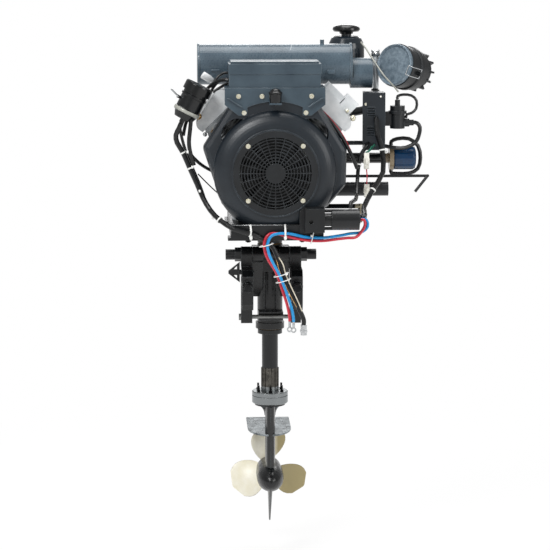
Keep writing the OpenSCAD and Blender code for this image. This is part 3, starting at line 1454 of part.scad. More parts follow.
module lead_ends() {
  color(zinc) {
    ring_end(lead_red[len(lead_red) - 1] - [0, 0, gap], lead_r);
    ring_end(lead_blue[len(lead_blue) - 1] - [0, 0, gap], lead_r);
    translate(lead_loom[len(lead_loom) - 1] - [0, 0, lead_r * 7 + gap]) {
      cylinder(r = lead_r * 2.1, h = lead_r * 7);
      translate([0, 0, lead_r * 2]) cylinder(r = lead_r * 2.5, h = lead_r * 1.5);
    }
  }
}

module crankshaft() {
  pin_r = throw * 0.6;
  pin_l = case_l * 0.25;
  web_t = case_l * 0.08;
  mid = -(left_y + right_y) / 2 + case_l * 0.1;
  // The webs sit off centre so that they balance the crank pin
  off = pin_r * pin_r * pin_l * throw / (2 * web_r * web_r * web_t);
  gear_foot = upper_cone * cos(45);
  color(steel) {
    bar_y(journal_r, grille_y + grille_t * 2, leg_y - gear_foot * 0.75, 0, crank_z);
    for (y = [mid - pin_l / 2 - web_t, mid + pin_l / 2]) bar_y(web_r, y, y + web_t, 0, crank_z - off);
    bar_y(pin_r, mid - pin_l / 2 - cut, mid + pin_l / 2 + cut, 0, crank_z + throw);
    bar_y(journal_r * 1.7, leg_y - upper_cone * 0.95, leg_y - gear_foot * 0.9, 0, crank_z);
    translate([0, leg_y, crank_z]) rotate([90, 0, 0]) bevel(upper_n, upper_cone, 45, -90);
  }
}

module flywheel() {
  back = -case_front - cowl_wall * 1.5;
  t = cowl_depth * 0.4;
  color(steel) difference() {
    turned_y([[0, back], [flywheel_r, back], [flywheel_r, back - t], [flywheel_r * 0.86, back - t],
      [flywheel_r * 0.84, back - t * 0.5], [journal_r * 2.2, back - t * 0.5], [journal_r * 2.2, back - t],
      [0, back - t]], 0, crank_z);
    bar_y(journal_r + run, back - t - cut, back + cut, 0, crank_z);
  }
}

module fan() {
  back = -case_front - cowl_wall * 1.5 - cowl_depth * 0.4;
  plate = back - cowl_wall * 2;
  front = grille_y + grille_t * 1.5;
  hub = journal_r * 2.2;
  step = 360 / fan_n;
  color(black) difference() {
    union() {
      turned_y([[0, back], [fan_r, back], [fan_r, plate], [hub, plate], [hub, front + grille_t],
        [hub * 0.7, front], [0, front]], 0, crank_z);
      // Curved blades on the back plate
      for (i = [0:fan_n - 1]) translate([0, 0, crank_z]) rotate([0, step * i, 0])
        slab_y([[hub * 0.9, -bar_w], [fan_r * 0.65, fan_r * 0.10], [fan_r * 0.97, fan_r * 0.26],
        [fan_r * 0.97, fan_r * 0.26 + bar_w], [fan_r * 0.65, fan_r * 0.10 + bar_w], [hub * 0.9, 0]],
        front, plate + cut);
    }
    bar_y(journal_r + run, front - cut, back + cut, 0, crank_z);
  }
}

// Drive shaft with a bevel gear on each end
module drive_shaft() {
  color(steel) {
    bar_z(drive_r, prop_z + lower_cone * cos(pinion_angle) * 0.8, crank_z - upper_cone * 0.53, 0, leg_y);
    translate([0, leg_y, crank_z]) rotate([180, 0, 0]) bevel(upper_n, upper_cone, 45, 90 + 180 / upper_n);
    bar_z(drive_r * 1.9, crank_z - upper_cone * 0.95, crank_z - upper_cone * 0.64, 0, leg_y);
    translate([0, leg_y, prop_z]) bevel(pinion_n, lower_cone, pinion_angle, 90 + 180 / pinion_n);
    bar_z(drive_r * 1.25, prop_z + lower_cone * cos(pinion_angle) * 0.93, prop_z + lower_cone * 1.4, 0,
        leg_y);
  }
}

module prop_shaft() {
  gear_angle = 90 - pinion_angle;
  y0 = leg_y + lower_cone * cos(gear_angle) * 0.7;
  carrier = leg_y + lower_cone * cos(gear_angle) + lower_cone * 0.55;
  color(steel) {
    bar_y(prop_shaft_r, y0, torpedo_y + hub_l * 1.35, 0, prop_z);
    translate([0, leg_y, prop_z]) rotate([-90, 0, 0]) bevel(gear_n, lower_cone, gear_angle, -90);
    bar_y(prop_shaft_r * 2, leg_y + lower_cone * cos(gear_angle) * 0.95, carrier - gap, 0, prop_z);
  }
}

// Blade on a helical surface; s runs from root to tip, c across the chord from -1 to 1
function chord(s) = blade_chord * 0.5 * (0.42 + 0.72 * sqrt(s) + 0.28 * s) * sqrt(max(1 - pow(s, 5),
    0.004));
function blade_point(s, c, side) = let (r = hub_r * 0.8 + (prop_r - hub_r * 0.8) * s,
    climb = atan(prop_pitch / (2 * PI * r)), w = chord(s) * c,
    t = side * blade_chord * 0.034 * (1.25 - s) * sqrt(max(1 - c * c, 0)),
    a = 180 / PI * (w * cos(climb) - t * sin(climb)) / r)
  [r * sin(a), w * sin(climb) + t * cos(climb), r * cos(a)];

module blade() {
  nr = 12;
  nc = 9;
  front = [for (i = [0:nr], k = [0:nc]) blade_point(i / nr, -1 + 2 * k / nc, 1)];
  back = [for (i = [0:nr], k = [0:nc]) blade_point(i / nr, -1 + 2 * k / nc, -1)];
  row = nc + 1;
  m = (nr + 1) * row;
  inner = [for (i = [0:nr - 1], k = [0:nc - 1], h = [0, 1]) let (p = i * row + k)
    h == 0 ? [p, p + 1, p + row + 1] : [p, p + row + 1, p + row]];
  outer = [for (f = inner) [f[2] + m, f[1] + m, f[0] + m]];
  root = [for (k = [0:nc - 1], h = [0, 1]) h == 0 ? [k, m + k, m + k + 1] : [k, m + k + 1, k + 1]];
  tip = [for (k = [0:nc - 1], h = [0, 1]) let (p = nr * row + k)
    h == 0 ? [p, p + 1, m + p + 1] : [p, m + p + 1, m + p]];
  polyhedron(concat(front, back), concat(inner, outer, root, tip));
}

module propeller() {
  y0 = torpedo_y + gap;
  y1 = y0 + hub_l;
  color(cream) translate([0, 0, prop_z]) difference() {
    union() {
      turned_y([[0, y0], [hub_r * 0.92, y0], [hub_r, y0 + hub_l * 0.2], [hub_r, y0 + hub_l * 0.6],
        [hub_r * 0.86, y1], [0, y1]], 0, 0);
      for (i = [0:blades_n - 1]) rotate([0, 360 * i / blades_n, 0]) translate([0, (y0 + y1) / 2, 0])
          blade();
    }
    bar_y(prop_shaft_r + run, y0 - cut, y1 + cut, 0, 0);
  }
}

module prop_nut() {
  y0 = torpedo_y + gap + hub_l;
  color(silver) difference() {
    union() {
      translate([0, y0, prop_z]) rotate([-90, 0, 0]) hex(prop_shaft_r * 1.7, prop_shaft_r * 1.2);
      bar_y(prop_shaft_r * 1.9, y0, y0 + prop_shaft_r * 0.3, 0, prop_z);
    }
    bar_y(prop_shaft_r + run, y0 - cut, y0 + prop_shaft_r * 2, 0, prop_z);
  }
}

clamp_bracket_left();
clamp_bracket_right();
tilt_tube();
thrust_rod();
clamp_screw_left();
clamp_screw_right();
clamp_pad_left();
clamp_pad_right();
tilt_lock_lever();
swivel_bracket();
steering_bushes();
base_frame();
leg_tube();
leg_casing();
gearcase();
anti_ventilation_plate();
drive_shaft_bushes();
bearing_carrier();
bevel_box();
crankcase();
cylinders();
cylinder_heads();
rocker_covers();
fan_cowl();
cover_plate();
fan_grille();
fasteners();
muffler();
electrics_box();
fuel_tank();
filter_housing();
regulator_box();
oil_filter();
fuel_pump();
fuel_lines();
shift_actuator();
drain_tap();
breather_canister();
wiring_harness();
cable_ties();
crankshaft();
flywheel();
fan();
drive_shaft();
prop_shaft();
propeller();
prop_nut();
tank_cap();
canister_cap();
box_lid();
filter_cover();
filter_clip();
throttle_lever();
tap_lever();
oil_plug();
canister_bail();
lead_red();
lead_blue();
lead_loom();
lead_ends();
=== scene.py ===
import bpy
import numpy as np
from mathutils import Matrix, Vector


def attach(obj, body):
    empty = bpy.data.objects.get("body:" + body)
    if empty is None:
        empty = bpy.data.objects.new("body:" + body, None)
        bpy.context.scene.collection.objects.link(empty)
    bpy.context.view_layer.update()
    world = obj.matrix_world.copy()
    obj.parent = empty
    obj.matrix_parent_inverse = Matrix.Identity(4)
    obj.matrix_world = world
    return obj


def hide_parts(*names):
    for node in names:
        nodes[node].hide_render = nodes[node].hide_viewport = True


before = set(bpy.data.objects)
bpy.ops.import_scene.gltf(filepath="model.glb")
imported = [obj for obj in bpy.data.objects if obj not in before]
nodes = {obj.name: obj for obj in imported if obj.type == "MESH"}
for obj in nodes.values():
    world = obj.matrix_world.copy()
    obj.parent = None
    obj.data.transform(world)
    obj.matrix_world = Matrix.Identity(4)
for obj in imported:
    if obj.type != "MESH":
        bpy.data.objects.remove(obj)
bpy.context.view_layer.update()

perMetre = 1000  # tables of places and sizes are in millimetres, the scene is in metres
print("scene: frame loaded,", len(nodes), "pieces")


# where the photograph was taken from and the point it looks at, in metres
photoCamera = {"place": (-0.2684, -6.4073, 1.0615), "aim": (0.0116, 0.0066, 0.0447),
               "lens": 150.3, "sensor": 36.0, "nearest": 0.1, "farthest": 60}


def pointAt(holder, place, aim):
    # a camera or a lamp looks along its own -Z, with its Y upwards
    holder.location = place
    holder.rotation_mode = "QUATERNION"
    holder.rotation_quaternion = (Vector(aim) - Vector(place)).to_track_quat("-Z", "Y")


def placeCamera(view):
    cam = bpy.data.cameras.new("photoCamera")
    cam.lens = view["lens"]
    cam.sensor_width = view["sensor"]
    cam.clip_start = view["nearest"]
    cam.clip_end = view["farthest"]
    holder = bpy.data.objects.new("photoCamera", cam)
    bpy.context.scene.collection.objects.link(holder)
    pointAt(holder, view["place"], view["aim"])
    bpy.context.scene.camera = holder


placeCamera(photoCamera)


def addMesh(name, points, faces, material=None, smooth=True, uv=None):
    # a mesh object at the origin with its place in its vertices
    mesh = bpy.data.meshes.new(name)
    mesh.from_pydata(np.asarray(points, float).tolist(), [], [list(f) for f in faces])
    mesh.update()
    mesh.polygons.foreach_set("use_smooth", [smooth] * len(mesh.polygons))
    if uv is not None:
        layer = mesh.uv_layers.new(name="along")
        loops = np.zeros(len(mesh.loops), int)
        mesh.loops.foreach_get("vertex_index", loops)
        layer.data.foreach_set("uv", np.asarray(uv, float)[loops].ravel())
    piece = bpy.data.objects.new(name, mesh)
    bpy.context.scene.collection.objects.link(piece)
    if material:
        mesh.materials.append(material)
    return piece


def unitRows(v):
    # each vector divided by its length
    return v / np.linalg.norm(v, axis=-1, keepdims=True)


def roundedRoute(points, steps):
    # Catmull-Rom curve through the points: each span is a cubic of its two ends, b and c,
    # and of the points before and after them, a and d
    p = np.asarray(points, float)
    last = len(p) - 1
    a, b, c, d = p[np.r_[0, 0:last - 1]], p[:-1], p[1:], p[np.r_[2:last + 1, last]]
    t = (np.arange(steps) / steps)[None, :, None]
    a, b, c, d = (q[:, None, :] for q in (a, b, c, d))
    curve = 0.5 * (2 * b + (c - a) * t + (2 * a - 5 * b + 4 * c - d) * t ** 2
                   + (3 * b - a - 3 * c + d) * t ** 3)
    return np.vstack([curve.reshape(-1, 3), p[-1:]])


def ringFaces(rings, sides, turnedOver=False):
    # a quad between neighbouring points of neighbouring rings, and one face over each end
    i, k = np.meshgrid(np.arange(rings - 1), np.arange(sides), indexing="ij")
    beside = (k + 1) % sides
    corners = [i * sides + k, i * sides + beside, (i + 1) * sides + beside, (i + 1) * sides + k]
    first = list(range(sides))
    last = list(range((rings - 1) * sides, rings * sides))
    if turnedOver:
        corners = corners[:1] + corners[:0:-1]
        ends = [first, last[::-1]]
    else:
        ends = [first[::-1], last]
    return np.stack(corners, -1).reshape(-1, 4).tolist() + ends


# directions that no route and no axis lies along exactly, so that a side across it can be found
routeHint = (0.05, 1, 0.02)
axisHint = (0.31, 0.87, 0.38)


def tubeGrid(path, radius, sides=12, across=routeHint, flat=1.0):
    # a circle carried along the path: each point is the path's, plus the radius times the cosine along the
    # side and the sine along up. With flat under 1 it is an ellipse
    path = np.asarray(path, float)
    ahead = np.empty_like(path)
    ahead[1:-1] = path[2:] - path[:-2]
    ahead[0], ahead[-1] = path[1] - path[0], path[-1] - path[-2]
    ahead = unitRows(ahead)
    side = unitRows(np.cross(ahead, np.asarray(across, float)))
    up = np.cross(side, ahead) * flat
    turn = np.linspace(0, 2 * np.pi, sides, endpoint=False)
    rings = path[:, None, :] + radius * (np.cos(turn)[None, :, None] * side[:, None, :]
                                         + np.sin(turn)[None, :, None] * up[:, None, :])
    # the map runs round in turns and along in a thousandth of the path's unit
    run = np.r_[0, np.cumsum(np.linalg.norm(np.diff(path, axis=0), axis=1))] * perMetre
    uv = np.stack(np.broadcast_arrays(turn[None, :] / (2 * np.pi), run[:, None]), -1)
    return rings.reshape(-1, 3), ringFaces(len(path), sides, turnedOver=True), uv.reshape(-1, 2)


def turnedGrid(foot, axis, profile, sides=24):
    # a profile of (radius, height) pairs turned about the axis: each point is the foot, plus the height
    # along the axis, plus the radius times the cosine along the side and the sine along up
    axis = unitRows(np.asarray(axis, float))
    side = unitRows(np.cross(axis, axisHint))
    up = np.cross(axis, side)
    p = np.asarray(profile, float)
    turn = np.linspace(0, 2 * np.pi, sides, endpoint=False)[None, :, None]
    rings = (np.asarray(foot, float) + p[:, 1, None, None] * axis
             + p[:, 0, None, None] * (np.cos(turn) * side + np.sin(turn) * up))
    return rings.reshape(-1, 3), ringFaces(len(p), sides)


moulding = {"power": 5, "sides": 28, "steps": ((0, 0.86), (0.08, 1), (0.92, 1), (1, 0.86))}


def mouldedGrid(centre, size, steps=moulding["steps"]):
    # an upright moulding: its outline is the rounded rectangle where |x|^power + |y|^power is 1, times half
    # the width and half the depth. Each step is a share of the height and the outline's share there
    turn = np.linspace(0, 2 * np.pi, moulding["sides"], endpoint=False)
    x, y = np.cos(turn), np.sin(turn)
    reach = (np.abs(x) ** moulding["power"] + np.abs(y) ** moulding["power"]) ** (-1 / moulding["power"])
    outline = np.stack([x * reach * size[0] / 2, y * reach * size[1] / 2, np.zeros(len(turn))], -1)
    step = np.asarray(steps, float)
    lift = np.zeros((len(step), 1, 3))
    lift[:, 0, 2] = (step[:, 0] - 0.5) * size[2]
    rings = np.asarray(centre, float) + lift + step[:, 1, None, None] * outline
    return rings.reshape(-1, 3), ringFaces(len(step), len(turn))


tieLoop = {"points": 33, "sides": 8}


def loopGrid(centre, wide, tall, across, up, thick):
    # a cable tie drawn tight round a bundle: a tube along an ellipse, whose points are wide times the cosine
    # along across, plus tall times the sine along up
    turn = np.linspace(0, 2 * np.pi, tieLoop["points"])[:, None]
    across, up = unitRows(np.asarray(across, float)), unitRows(np.asarray(up, float))
    path = np.asarray(centre, float) + wide * np.cos(turn) * across + tall * np.sin(turn) * up
    return tubeGrid(path, thick, tieLoop["sides"], across=np.cross(across, up))


def linearColour(text):
    # an sRGB hex value as the linear colour that Blender works in
    c = np.array([int(text[i:i + 2], 16) for i in (1, 3, 5)]) / 255
    return (*np.where(c <= 0.04045, c / 12.92, ((c + 0.055) / 1.055) ** 2.4), 1.0)


def addNode(tree, kind, settings=None, links=None):
    # adds a node, sets its properties and sockets, then joins its inputs
    node = tree.nodes.new("ShaderNode" + kind)
    for name, value in (settings or {}).items():
        if isinstance(name, int) or name in node.inputs:
            node.inputs[name].default_value = value
        else:
            setattr(node, name, value)
    for name, socket in (links or {}).items():
        tree.links.new(socket, node.inputs[name])
    return node


# what all surfaces share. An edge is worn where the rounded normal leaves the face's own.
# A scratch shows near the edges of coarse cells, where the clouds are lightest
surface = {"cloudDetail": 4.0, "cloudRoughness": 0.6, "cloudSpread": (0.35, 0.65),
           "grainDetail": 3.0, "grainRoughness": 0.55, "reliefStrength": 0.5,
           "bevelSamples": 4, "bevelMm": 1.0, "wornEdge": (0.995, 0.86),
           "cellsPerMetre": 14.0, "scratchWidth": (0.012, 0.004), "scratchClouds": (0.60, 0.66)}


def surfaceMaterial(name, look):
    # colour drifts between two tones over cloudMm, grain of grainMm makes the relief, edges show wear
    mat = bpy.data.materials.new(name)
    mat.use_nodes = True
    tree = mat.node_tree
    tree.nodes.clear()
    place = addNode(tree, "TexCoord").outputs["Object"]
    cloud = addNode(tree, "TexNoise", {"Scale": perMetre / look["cloudMm"], "Detail": surface["cloudDetail"],
                                       "Roughness": surface["cloudRoughness"]}, {"Vector": place})
    stretch = addNode(tree, "Mapping", {"Scale": look.get("stretch", (1, 1, 1))}, {"Vector": place})
    grain = addNode(tree, "TexNoise", {"Scale": perMetre / look["grainMm"], "Detail": surface["grainDetail"],
                                       "Roughness": surface["grainRoughness"]},
                    {"Vector": stretch.outputs[0]})
    spread = addNode(tree, "MapRange", {"From Min": surface["cloudSpread"][0],
                                        "From Max": surface["cloudSpread"][1]},
                     {"Value": cloud.outputs["Fac"]})
    tone = addNode(tree, "Mix", {"data_type": "RGBA", 6: linearColour(look["colour"]),
                                 7: linearColour(look["secondColour"])}, {0: spread.outputs[0]})
    colour = tone.outputs[2]
    rounded = addNode(tree, "Bevel", {"samples": surface["bevelSamples"],
                                      "Radius": look.get("bevelMm", surface["bevelMm"]) / perMetre})
    if look.get("wear"):
        shape = addNode(tree, "NewGeometry")
        turned = addNode(tree, "VectorMath", {"operation": "DOT_PRODUCT"},
                         {0: rounded.outputs[0], 1: shape.outputs["Normal"]})
        edge = addNode(tree, "MapRange", {"From Min": surface["wornEdge"][0],
                                          "From Max": surface["wornEdge"][1], "To Max": look["wear"]},
                       {"Value": turned.outputs["Value"]})
        broken = addNode(tree, "Math", {"operation": "MULTIPLY"}, {0: edge.outputs[0], 1: spread.outputs[0]})
        worn = addNode(tree, "Mix", {"data_type": "RGBA", 7: linearColour(look["wearColour"])},
                       {0: broken.outputs[0], 6: colour})
        colour = worn.outputs[2]
    if look.get("scratch"):
        cells = addNode(tree, "TexVoronoi", {"feature": "DISTANCE_TO_EDGE",
                                             "Scale": surface["cellsPerMetre"]}, {"Vector": place})
        thin = addNode(tree, "MapRange", {"From Min": surface["scratchWidth"][0],
                                          "From Max": surface["scratchWidth"][1]},
                       {"Value": cells.outputs["Distance"]})
        some = addNode(tree, "MapRange", {"From Min": surface["scratchClouds"][0],
                                          "From Max": surface["scratchClouds"][1]},
                       {"Value": cloud.outputs["Fac"]})
        mark = addNode(tree, "Math", {"operation": "MULTIPLY"}, {0: thin.outputs[0], 1: some.outputs[0]})
        scored = addNode(tree, "Mix", {"data_type": "RGBA", 7: linearColour(look["scratch"])},
                         {0: mark.outputs[0], 6: colour})
        colour = scored.outputs[2]
    for zone in look.get("zones", []):
        # another colour beyond a plane across the axis, which fades in between its two places
        along = addNode(tree, "VectorMath", {"operation": "DOT_PRODUCT", 1: zone["axis"]}, {0: place})
        past = addNode(tree, "MapRange", {"From Min": zone["from"] / perMetre,
                                          "From Max": zone["to"] / perMetre},
                       {"Value": along.outputs["Value"]})
        other = addNode(tree, "Mix", {"data_type": "RGBA", 7: linearColour(zone["colour"])},
                        {0: past.outputs[0], 6: colour})
        colour = other.outputs[2]
    rough = addNode(tree, "MapRange", {"To Min": look["rough"][0], "To Max": look["rough"][1]},
                    {"Value": grain.outputs["Fac"]})
    relief = addNode(tree, "Bump", {"Strength": surface["reliefStrength"],
                                    "Distance": look["reliefMm"] / perMetre},
                     {"Height": grain.outputs["Fac"], "Normal": rounded.outputs[0]})
    shader = addNode(tree, "BsdfPrincipled", {"Metallic": look.get("metallic", 0.0)},
                     {"Base Color": colour, "Roughness": rough.outputs[0], "Normal": relief.outputs[0]})
    addNode(tree, "OutputMaterial", {}, {"Surface": shader.outputs[0]})
    mat.diffuse_color = linearColour(look["colour"])
    return mat


looks = {
    # polyester powder coat, sprayed dry and baked: dark slate with a satin sheen and slight orange peel.
    # The peel is about 1.5 mm on the real one and is drawn at 4 mm so that it shows
    "powderCoatSlate": {"colour": "#131A21", "secondColour": "#1A2229", "cloudMm": 90, "grainMm": 4,
                        "reliefMm": 0.25, "rough": (0.30, 0.42), "wear": 0.45, "wearColour": "#7E8A92",
                        "bevelMm": 2.4},
    # the same coat in a lighter blue grey on the sheet-metal pieces at the top, a lit copy of the slate: the
    # light from above on them is painted into their colour
    "powderCoatSlateSkyLit": {"colour": "#33414B", "secondColour": "#3F4E58", "cloudMm": 70, "grainMm": 4,
                            "reliefMm": 0.2, "rough": (0.28, 0.40), "wear": 0.6, "wearColour": "#AEB9C0",
                            "bevelMm": 1.8},
    # heat-resistant paint on the exhaust silencer: bluish, a little glossy, with scratches down to the steel
    "silencerPaint": {"colour": "#41505B", "secondColour": "#50606B", "cloudMm": 60, "grainMm": 5,
                      "reliefMm": 0.2, "rough": (0.22, 0.34), "wear": 0.6, "wearColour": "#B4BDC3",
                      "bevelMm": 2.0, "scratch": "#C9CFD3"},
    # glossy stove enamel on the tank's pressed dome
    "stoveEnamelSlate": {"colour": "#161C22", "secondColour": "#1C242B", "cloudMm": 80, "grainMm": 9,
                         "reliefMm": 0.12, "rough": (0.12, 0.2), "bevelMm": 2.0},
    # the powder coat on the welded parts lower down, nearly black
    "powderCoatBlack": {"colour": "#07090B", "secondColour": "#0E1114", "cloudMm": 60, "grainMm": 3,
                        "reliefMm": 0.25, "rough": (0.26, 0.42), "wear": 0.5, "wearColour": "#737A80",
                        "bevelMm": 1.5},
    # air-drying black enamel, brushed and sprayed on rough castings: glossy, with their grain under it
    "castingEnamelBlack": {"colour": "#040506", "secondColour": "#0A0C0E", "cloudMm": 45, "grainMm": 6,
                           "reliefMm": 0.7, "rough": (0.16, 0.34), "wear": 0.6, "wearColour": "#8C9296",
                           "bevelMm": 2.0},
    # pressure die-cast aluminium, left bare: pale grey, matt, with a fine pitted skin
    "dieCastAluminium": {"colour": "#7E8285", "secondColour": "#A4A8AA", "cloudMm": 30, "grainMm": 2.5,
                         "reliefMm": 0.35, "rough": (0.34, 0.52), "metallic": 0.8, "wear": 0.5,
                         "wearColour": "#E6E7E8", "bevelMm": 1.6},
    # the valve covers' castings, blasted and sprayed with clear lacquer: the palest metal of the engine
    "blastedAluminium": {"colour": "#D2D6D8", "secondColour": "#E9EBEC", "cloudMm": 40, "grainMm": 3,
                         "reliefMm": 0.3, "rough": (0.34, 0.48), "metallic": 0.12, "wear": 0.4,
                         "wearColour": "#FFFFFF", "bevelMm": 2.4},
    # rolled aluminium sheet, brushed from front to back, with cloudy light and dark patches
    "brushedAluminiumSheet": {"colour": "#4C5255", "secondColour": "#92989B", "cloudMm": 28, "grainMm": 3,
                              "stretch": (1, 0.08, 1), "reliefMm": 0.1, "rough": (0.20, 0.38),
                              "metallic": 1.0},
    # turned and ground steel: neutral and bright, with the fine level marks that a lathe leaves
    "turnedSteel": {"colour": "#6B6C6B", "secondColour": "#8C8D8B", "cloudMm": 20, "grainMm": 1.5,
                    "stretch": (0.2, 0.2, 3), "reliefMm": 0.1, "rough": (0.25, 0.45), "metallic": 1.0},
    # hot-rolled steel of the leg's lower casing: darker, with a brown tint from rolling and oil.
    # Its flange, the lowest part, is machined and brighter
    "oiledSteel": {"colour": "#4A4844", "secondColour": "#67645E", "cloudMm": 16, "grainMm": 2,
                   "stretch": (0.3, 0.3, 2), "reliefMm": 0.15, "rough": (0.26, 0.44), "metallic": 1.0,
                   "zones": [{"axis": (0, 0, 1), "from": -288, "to": -290, "colour": "#8E9293"}]},
    # black oxide on the clamp screws: dark, oily, a little bright where the spanner has been
    "blackOxide": {"colour": "#1B1C1D", "secondColour": "#2A2B2C", "cloudMm": 10, "grainMm": 2,
                   "reliefMm": 0.1, "rough": (0.26, 0.42), "metallic": 0.8, "wear": 0.7,
                   "wearColour": "#B9BBBC", "bevelMm": 1.0},
    # zinc plate with yellow passivation on bolts and nuts: pale brass colour, patchy.
    # Below the base plate the feet and the leg's studs are black
    "yellowZincPlate": {"colour": "#D9D3B4", "secondColour": "#F0EEE2", "cloudMm": 5, "grainMm": 1.5,
                        "reliefMm": 0.1, "rough": (0.20, 0.36), "metallic": 0.85, "bevelMm": 0.6,
                        "zones": [{"axis": (0, 0, 1), "from": 206, "to": 204, "colour": "#0B0C0D"}]},
    # clear zinc plate on small wire parts, screws and terminals: bright and faintly clouded
    "clearZincPlate": {"colour": "#B5B8BA", "secondColour": "#D5D7D8", "cloudMm": 6, "grainMm": 1.5,
                       "reliefMm": 0.1, "rough": (0.20, 0.34), "metallic": 1.0, "bevelMm": 0.5},
    # nickel plated brass of the drain tap: warm grey. Its long bar, to the left, is blackened
    "platedBrass": {"colour": "#7C7767", "secondColour": "#A09883", "cloudMm": 8, "grainMm": 2,
                    "reliefMm": 0.1, "rough": (0.22, 0.38), "metallic": 1.0, "bevelMm": 0.6,
                    "zones": [{"axis": (1, 0, 0), "from": 228, "to": 224, "colour": "#101214"}]},
    # bare brass and copper, machined: the banjo bolts on the left head and a thin wire in the hanging bundle
    "bareBrass": {"colour": "#B98A4E", "secondColour": "#D9B987", "cloudMm": 6, "grainMm": 2,
                  "reliefMm": 0.1, "rough": (0.18, 0.32), "metallic": 1.0, "bevelMm": 0.6},
    # sintered bronze bushes: brown, dull and porous
    "sinteredBronze": {"colour": "#4A3A24", "secondColour": "#5C4A30", "cloudMm": 8, "grainMm": 1.5,
                       "reliefMm": 0.15, "rough": (0.40, 0.55), "metallic": 1.0, "bevelMm": 0.4},
    # glass-filled nylon, moulded with a fine spark-eroded texture, satin black
    "mouldedNylon": {"colour": "#0B0E11", "secondColour": "#13171B", "cloudMm": 40, "grainMm": 2.5,
                     "reliefMm": 0.2, "rough": (0.32, 0.46), "wear": 0.5, "wearColour": "#8A939A",
                     "bevelMm": 0.9},
    # polypropylene mouldings with a smoother, glossier skin
    "mouldedPolypropylene": {"colour": "#070809", "secondColour": "#0C0E10", "cloudMm": 40, "grainMm": 5,
                             "reliefMm": 0.15, "rough": (0.16, 0.28), "bevelMm": 1.2},
    # galvanised and lacquered steel of the air filter's cover, bluish grey with faint blotches
    "lacqueredSteel": {"colour": "#5F6F7B", "secondColour": "#83929D", "cloudMm": 10, "grainMm": 3,
                       "reliefMm": 0.3, "rough": (0.35, 0.55), "metallic": 0.35, "bevelMm": 1.0},
    # blue enamel of the screw-on oil filter, baked, with a clean gloss.
    # To its left its collar is zinc plated in tan, and the pipe beyond that is black
    "filterEnamelBlue": {"colour": "#022A4C", "secondColour": "#033458", "cloudMm": 25, "grainMm": 8,
                         "reliefMm": 0.05, "rough": (0.14, 0.22), "bevelMm": 1.2,
                         "zones": [{"axis": (1, 0, 0), "from": 341.5, "to": 340, "colour": "#8E7F66"},
                                   {"axis": (1, 0, 0), "from": 319, "to": 317, "colour": "#0C0D0E"}]},
    # nitrile rubber hose and PVC loom tape: black, with the sheen of new tape
    "nitrileRubber": {"colour": "#08090A", "secondColour": "#121416", "cloudMm": 25, "grainMm": 3,
                      "reliefMm": 0.2, "rough": (0.22, 0.38), "bevelMm": 0.5},
    # natural nylon of the cable ties: milky white and smooth
    "naturalNylon": {"colour": "#E4E5E2", "secondColour": "#EDEEEB", "cloudMm": 10, "grainMm": 3,
                     "reliefMm": 0.05, "rough": (0.35, 0.45), "bevelMm": 0.3},
    # the connectors' nylon, a shade creamier, with the shine of a polished mould
    "connectorNylon": {"colour": "#E9E6DA", "secondColour": "#F3F1E8", "cloudMm": 14, "grainMm": 4,
                       "reliefMm": 0.05, "rough": (0.25, 0.35), "bevelMm": 0.6},
    # red and blue battery cable: extruded PVC, glossy and even
    "cableRed": {"colour": "#BE2436", "secondColour": "#CB3445", "cloudMm": 30, "grainMm": 6,
                 "reliefMm": 0.08, "rough": (0.20, 0.30), "bevelMm": 0.3},
    "cableBlue": {"colour": "#0F84C4", "secondColour": "#1F95D2", "cloudMm": 30, "grainMm": 6,
                  "reliefMm": 0.08, "rough": (0.20, 0.30), "bevelMm": 0.3},
    # drawn steel tube with bright zinc, the riser's sleeve: nearly white, with faint lines along it
    "brightSteelTube": {"colour": "#D3D8DB", "secondColour": "#ECEFF0", "cloudMm": 18, "grainMm": 2,
                        "stretch": (1, 1, 0.1), "reliefMm": 0.06, "rough": (0.24, 0.36), "metallic": 0.45},
    # clear PVC, extruded, gone slightly grey: the tank's overflow hose, and the canister's band
    "hoseGrey": {"colour": "#8E8F88", "secondColour": "#A5A69E", "cloudMm": 20, "grainMm": 4,
                 "reliefMm": 0.05, "rough": (0.20, 0.32), "bevelMm": 0.4},
    # hook-up wire in extruded PVC, cream: smooth, with a soft shine
    "wireCream": {"colour": "#CFC6AE", "secondColour": "#DDD6C4", "cloudMm": 20, "grainMm": 5,
                  "reliefMm": 0.05, "rough": (0.28, 0.38), "bevelMm": 0.3},
    # the same wire in green
    "wireGreen": {"colour": "#0F5B48", "secondColour": "#157258", "cloudMm": 20, "grainMm": 5,
                  "reliefMm": 0.05, "rough": (0.28, 0.38), "bevelMm": 0.3},
    # polyurethane paint on the propeller: warm ivory, satin, slightly stained. The blade on the right is
    # painted tan as painted shade, the shade that blade lies in, which is laid on all that lies more than 14
    # to 30 mm to the right
    "propellerIvory": {"colour": "#ECE6CE", "secondColour": "#F6F2E3", "cloudMm": 50, "grainMm": 6,
                       "reliefMm": 0.12, "rough": (0.28, 0.42), "wear": 0.2, "wearColour": "#9A8F66",
                       "bevelMm": 1.0,
                       # painted shade: the right blade's tan, laid on beyond a plane across the propeller's
                       # own X
                       "zones": [{"axis": (1, 0, 0), "from": 14, "to": 30, "colour": "#A89A6E"}]},
}
made = {name: surfaceMaterial(name, look) for name, look in looks.items()}

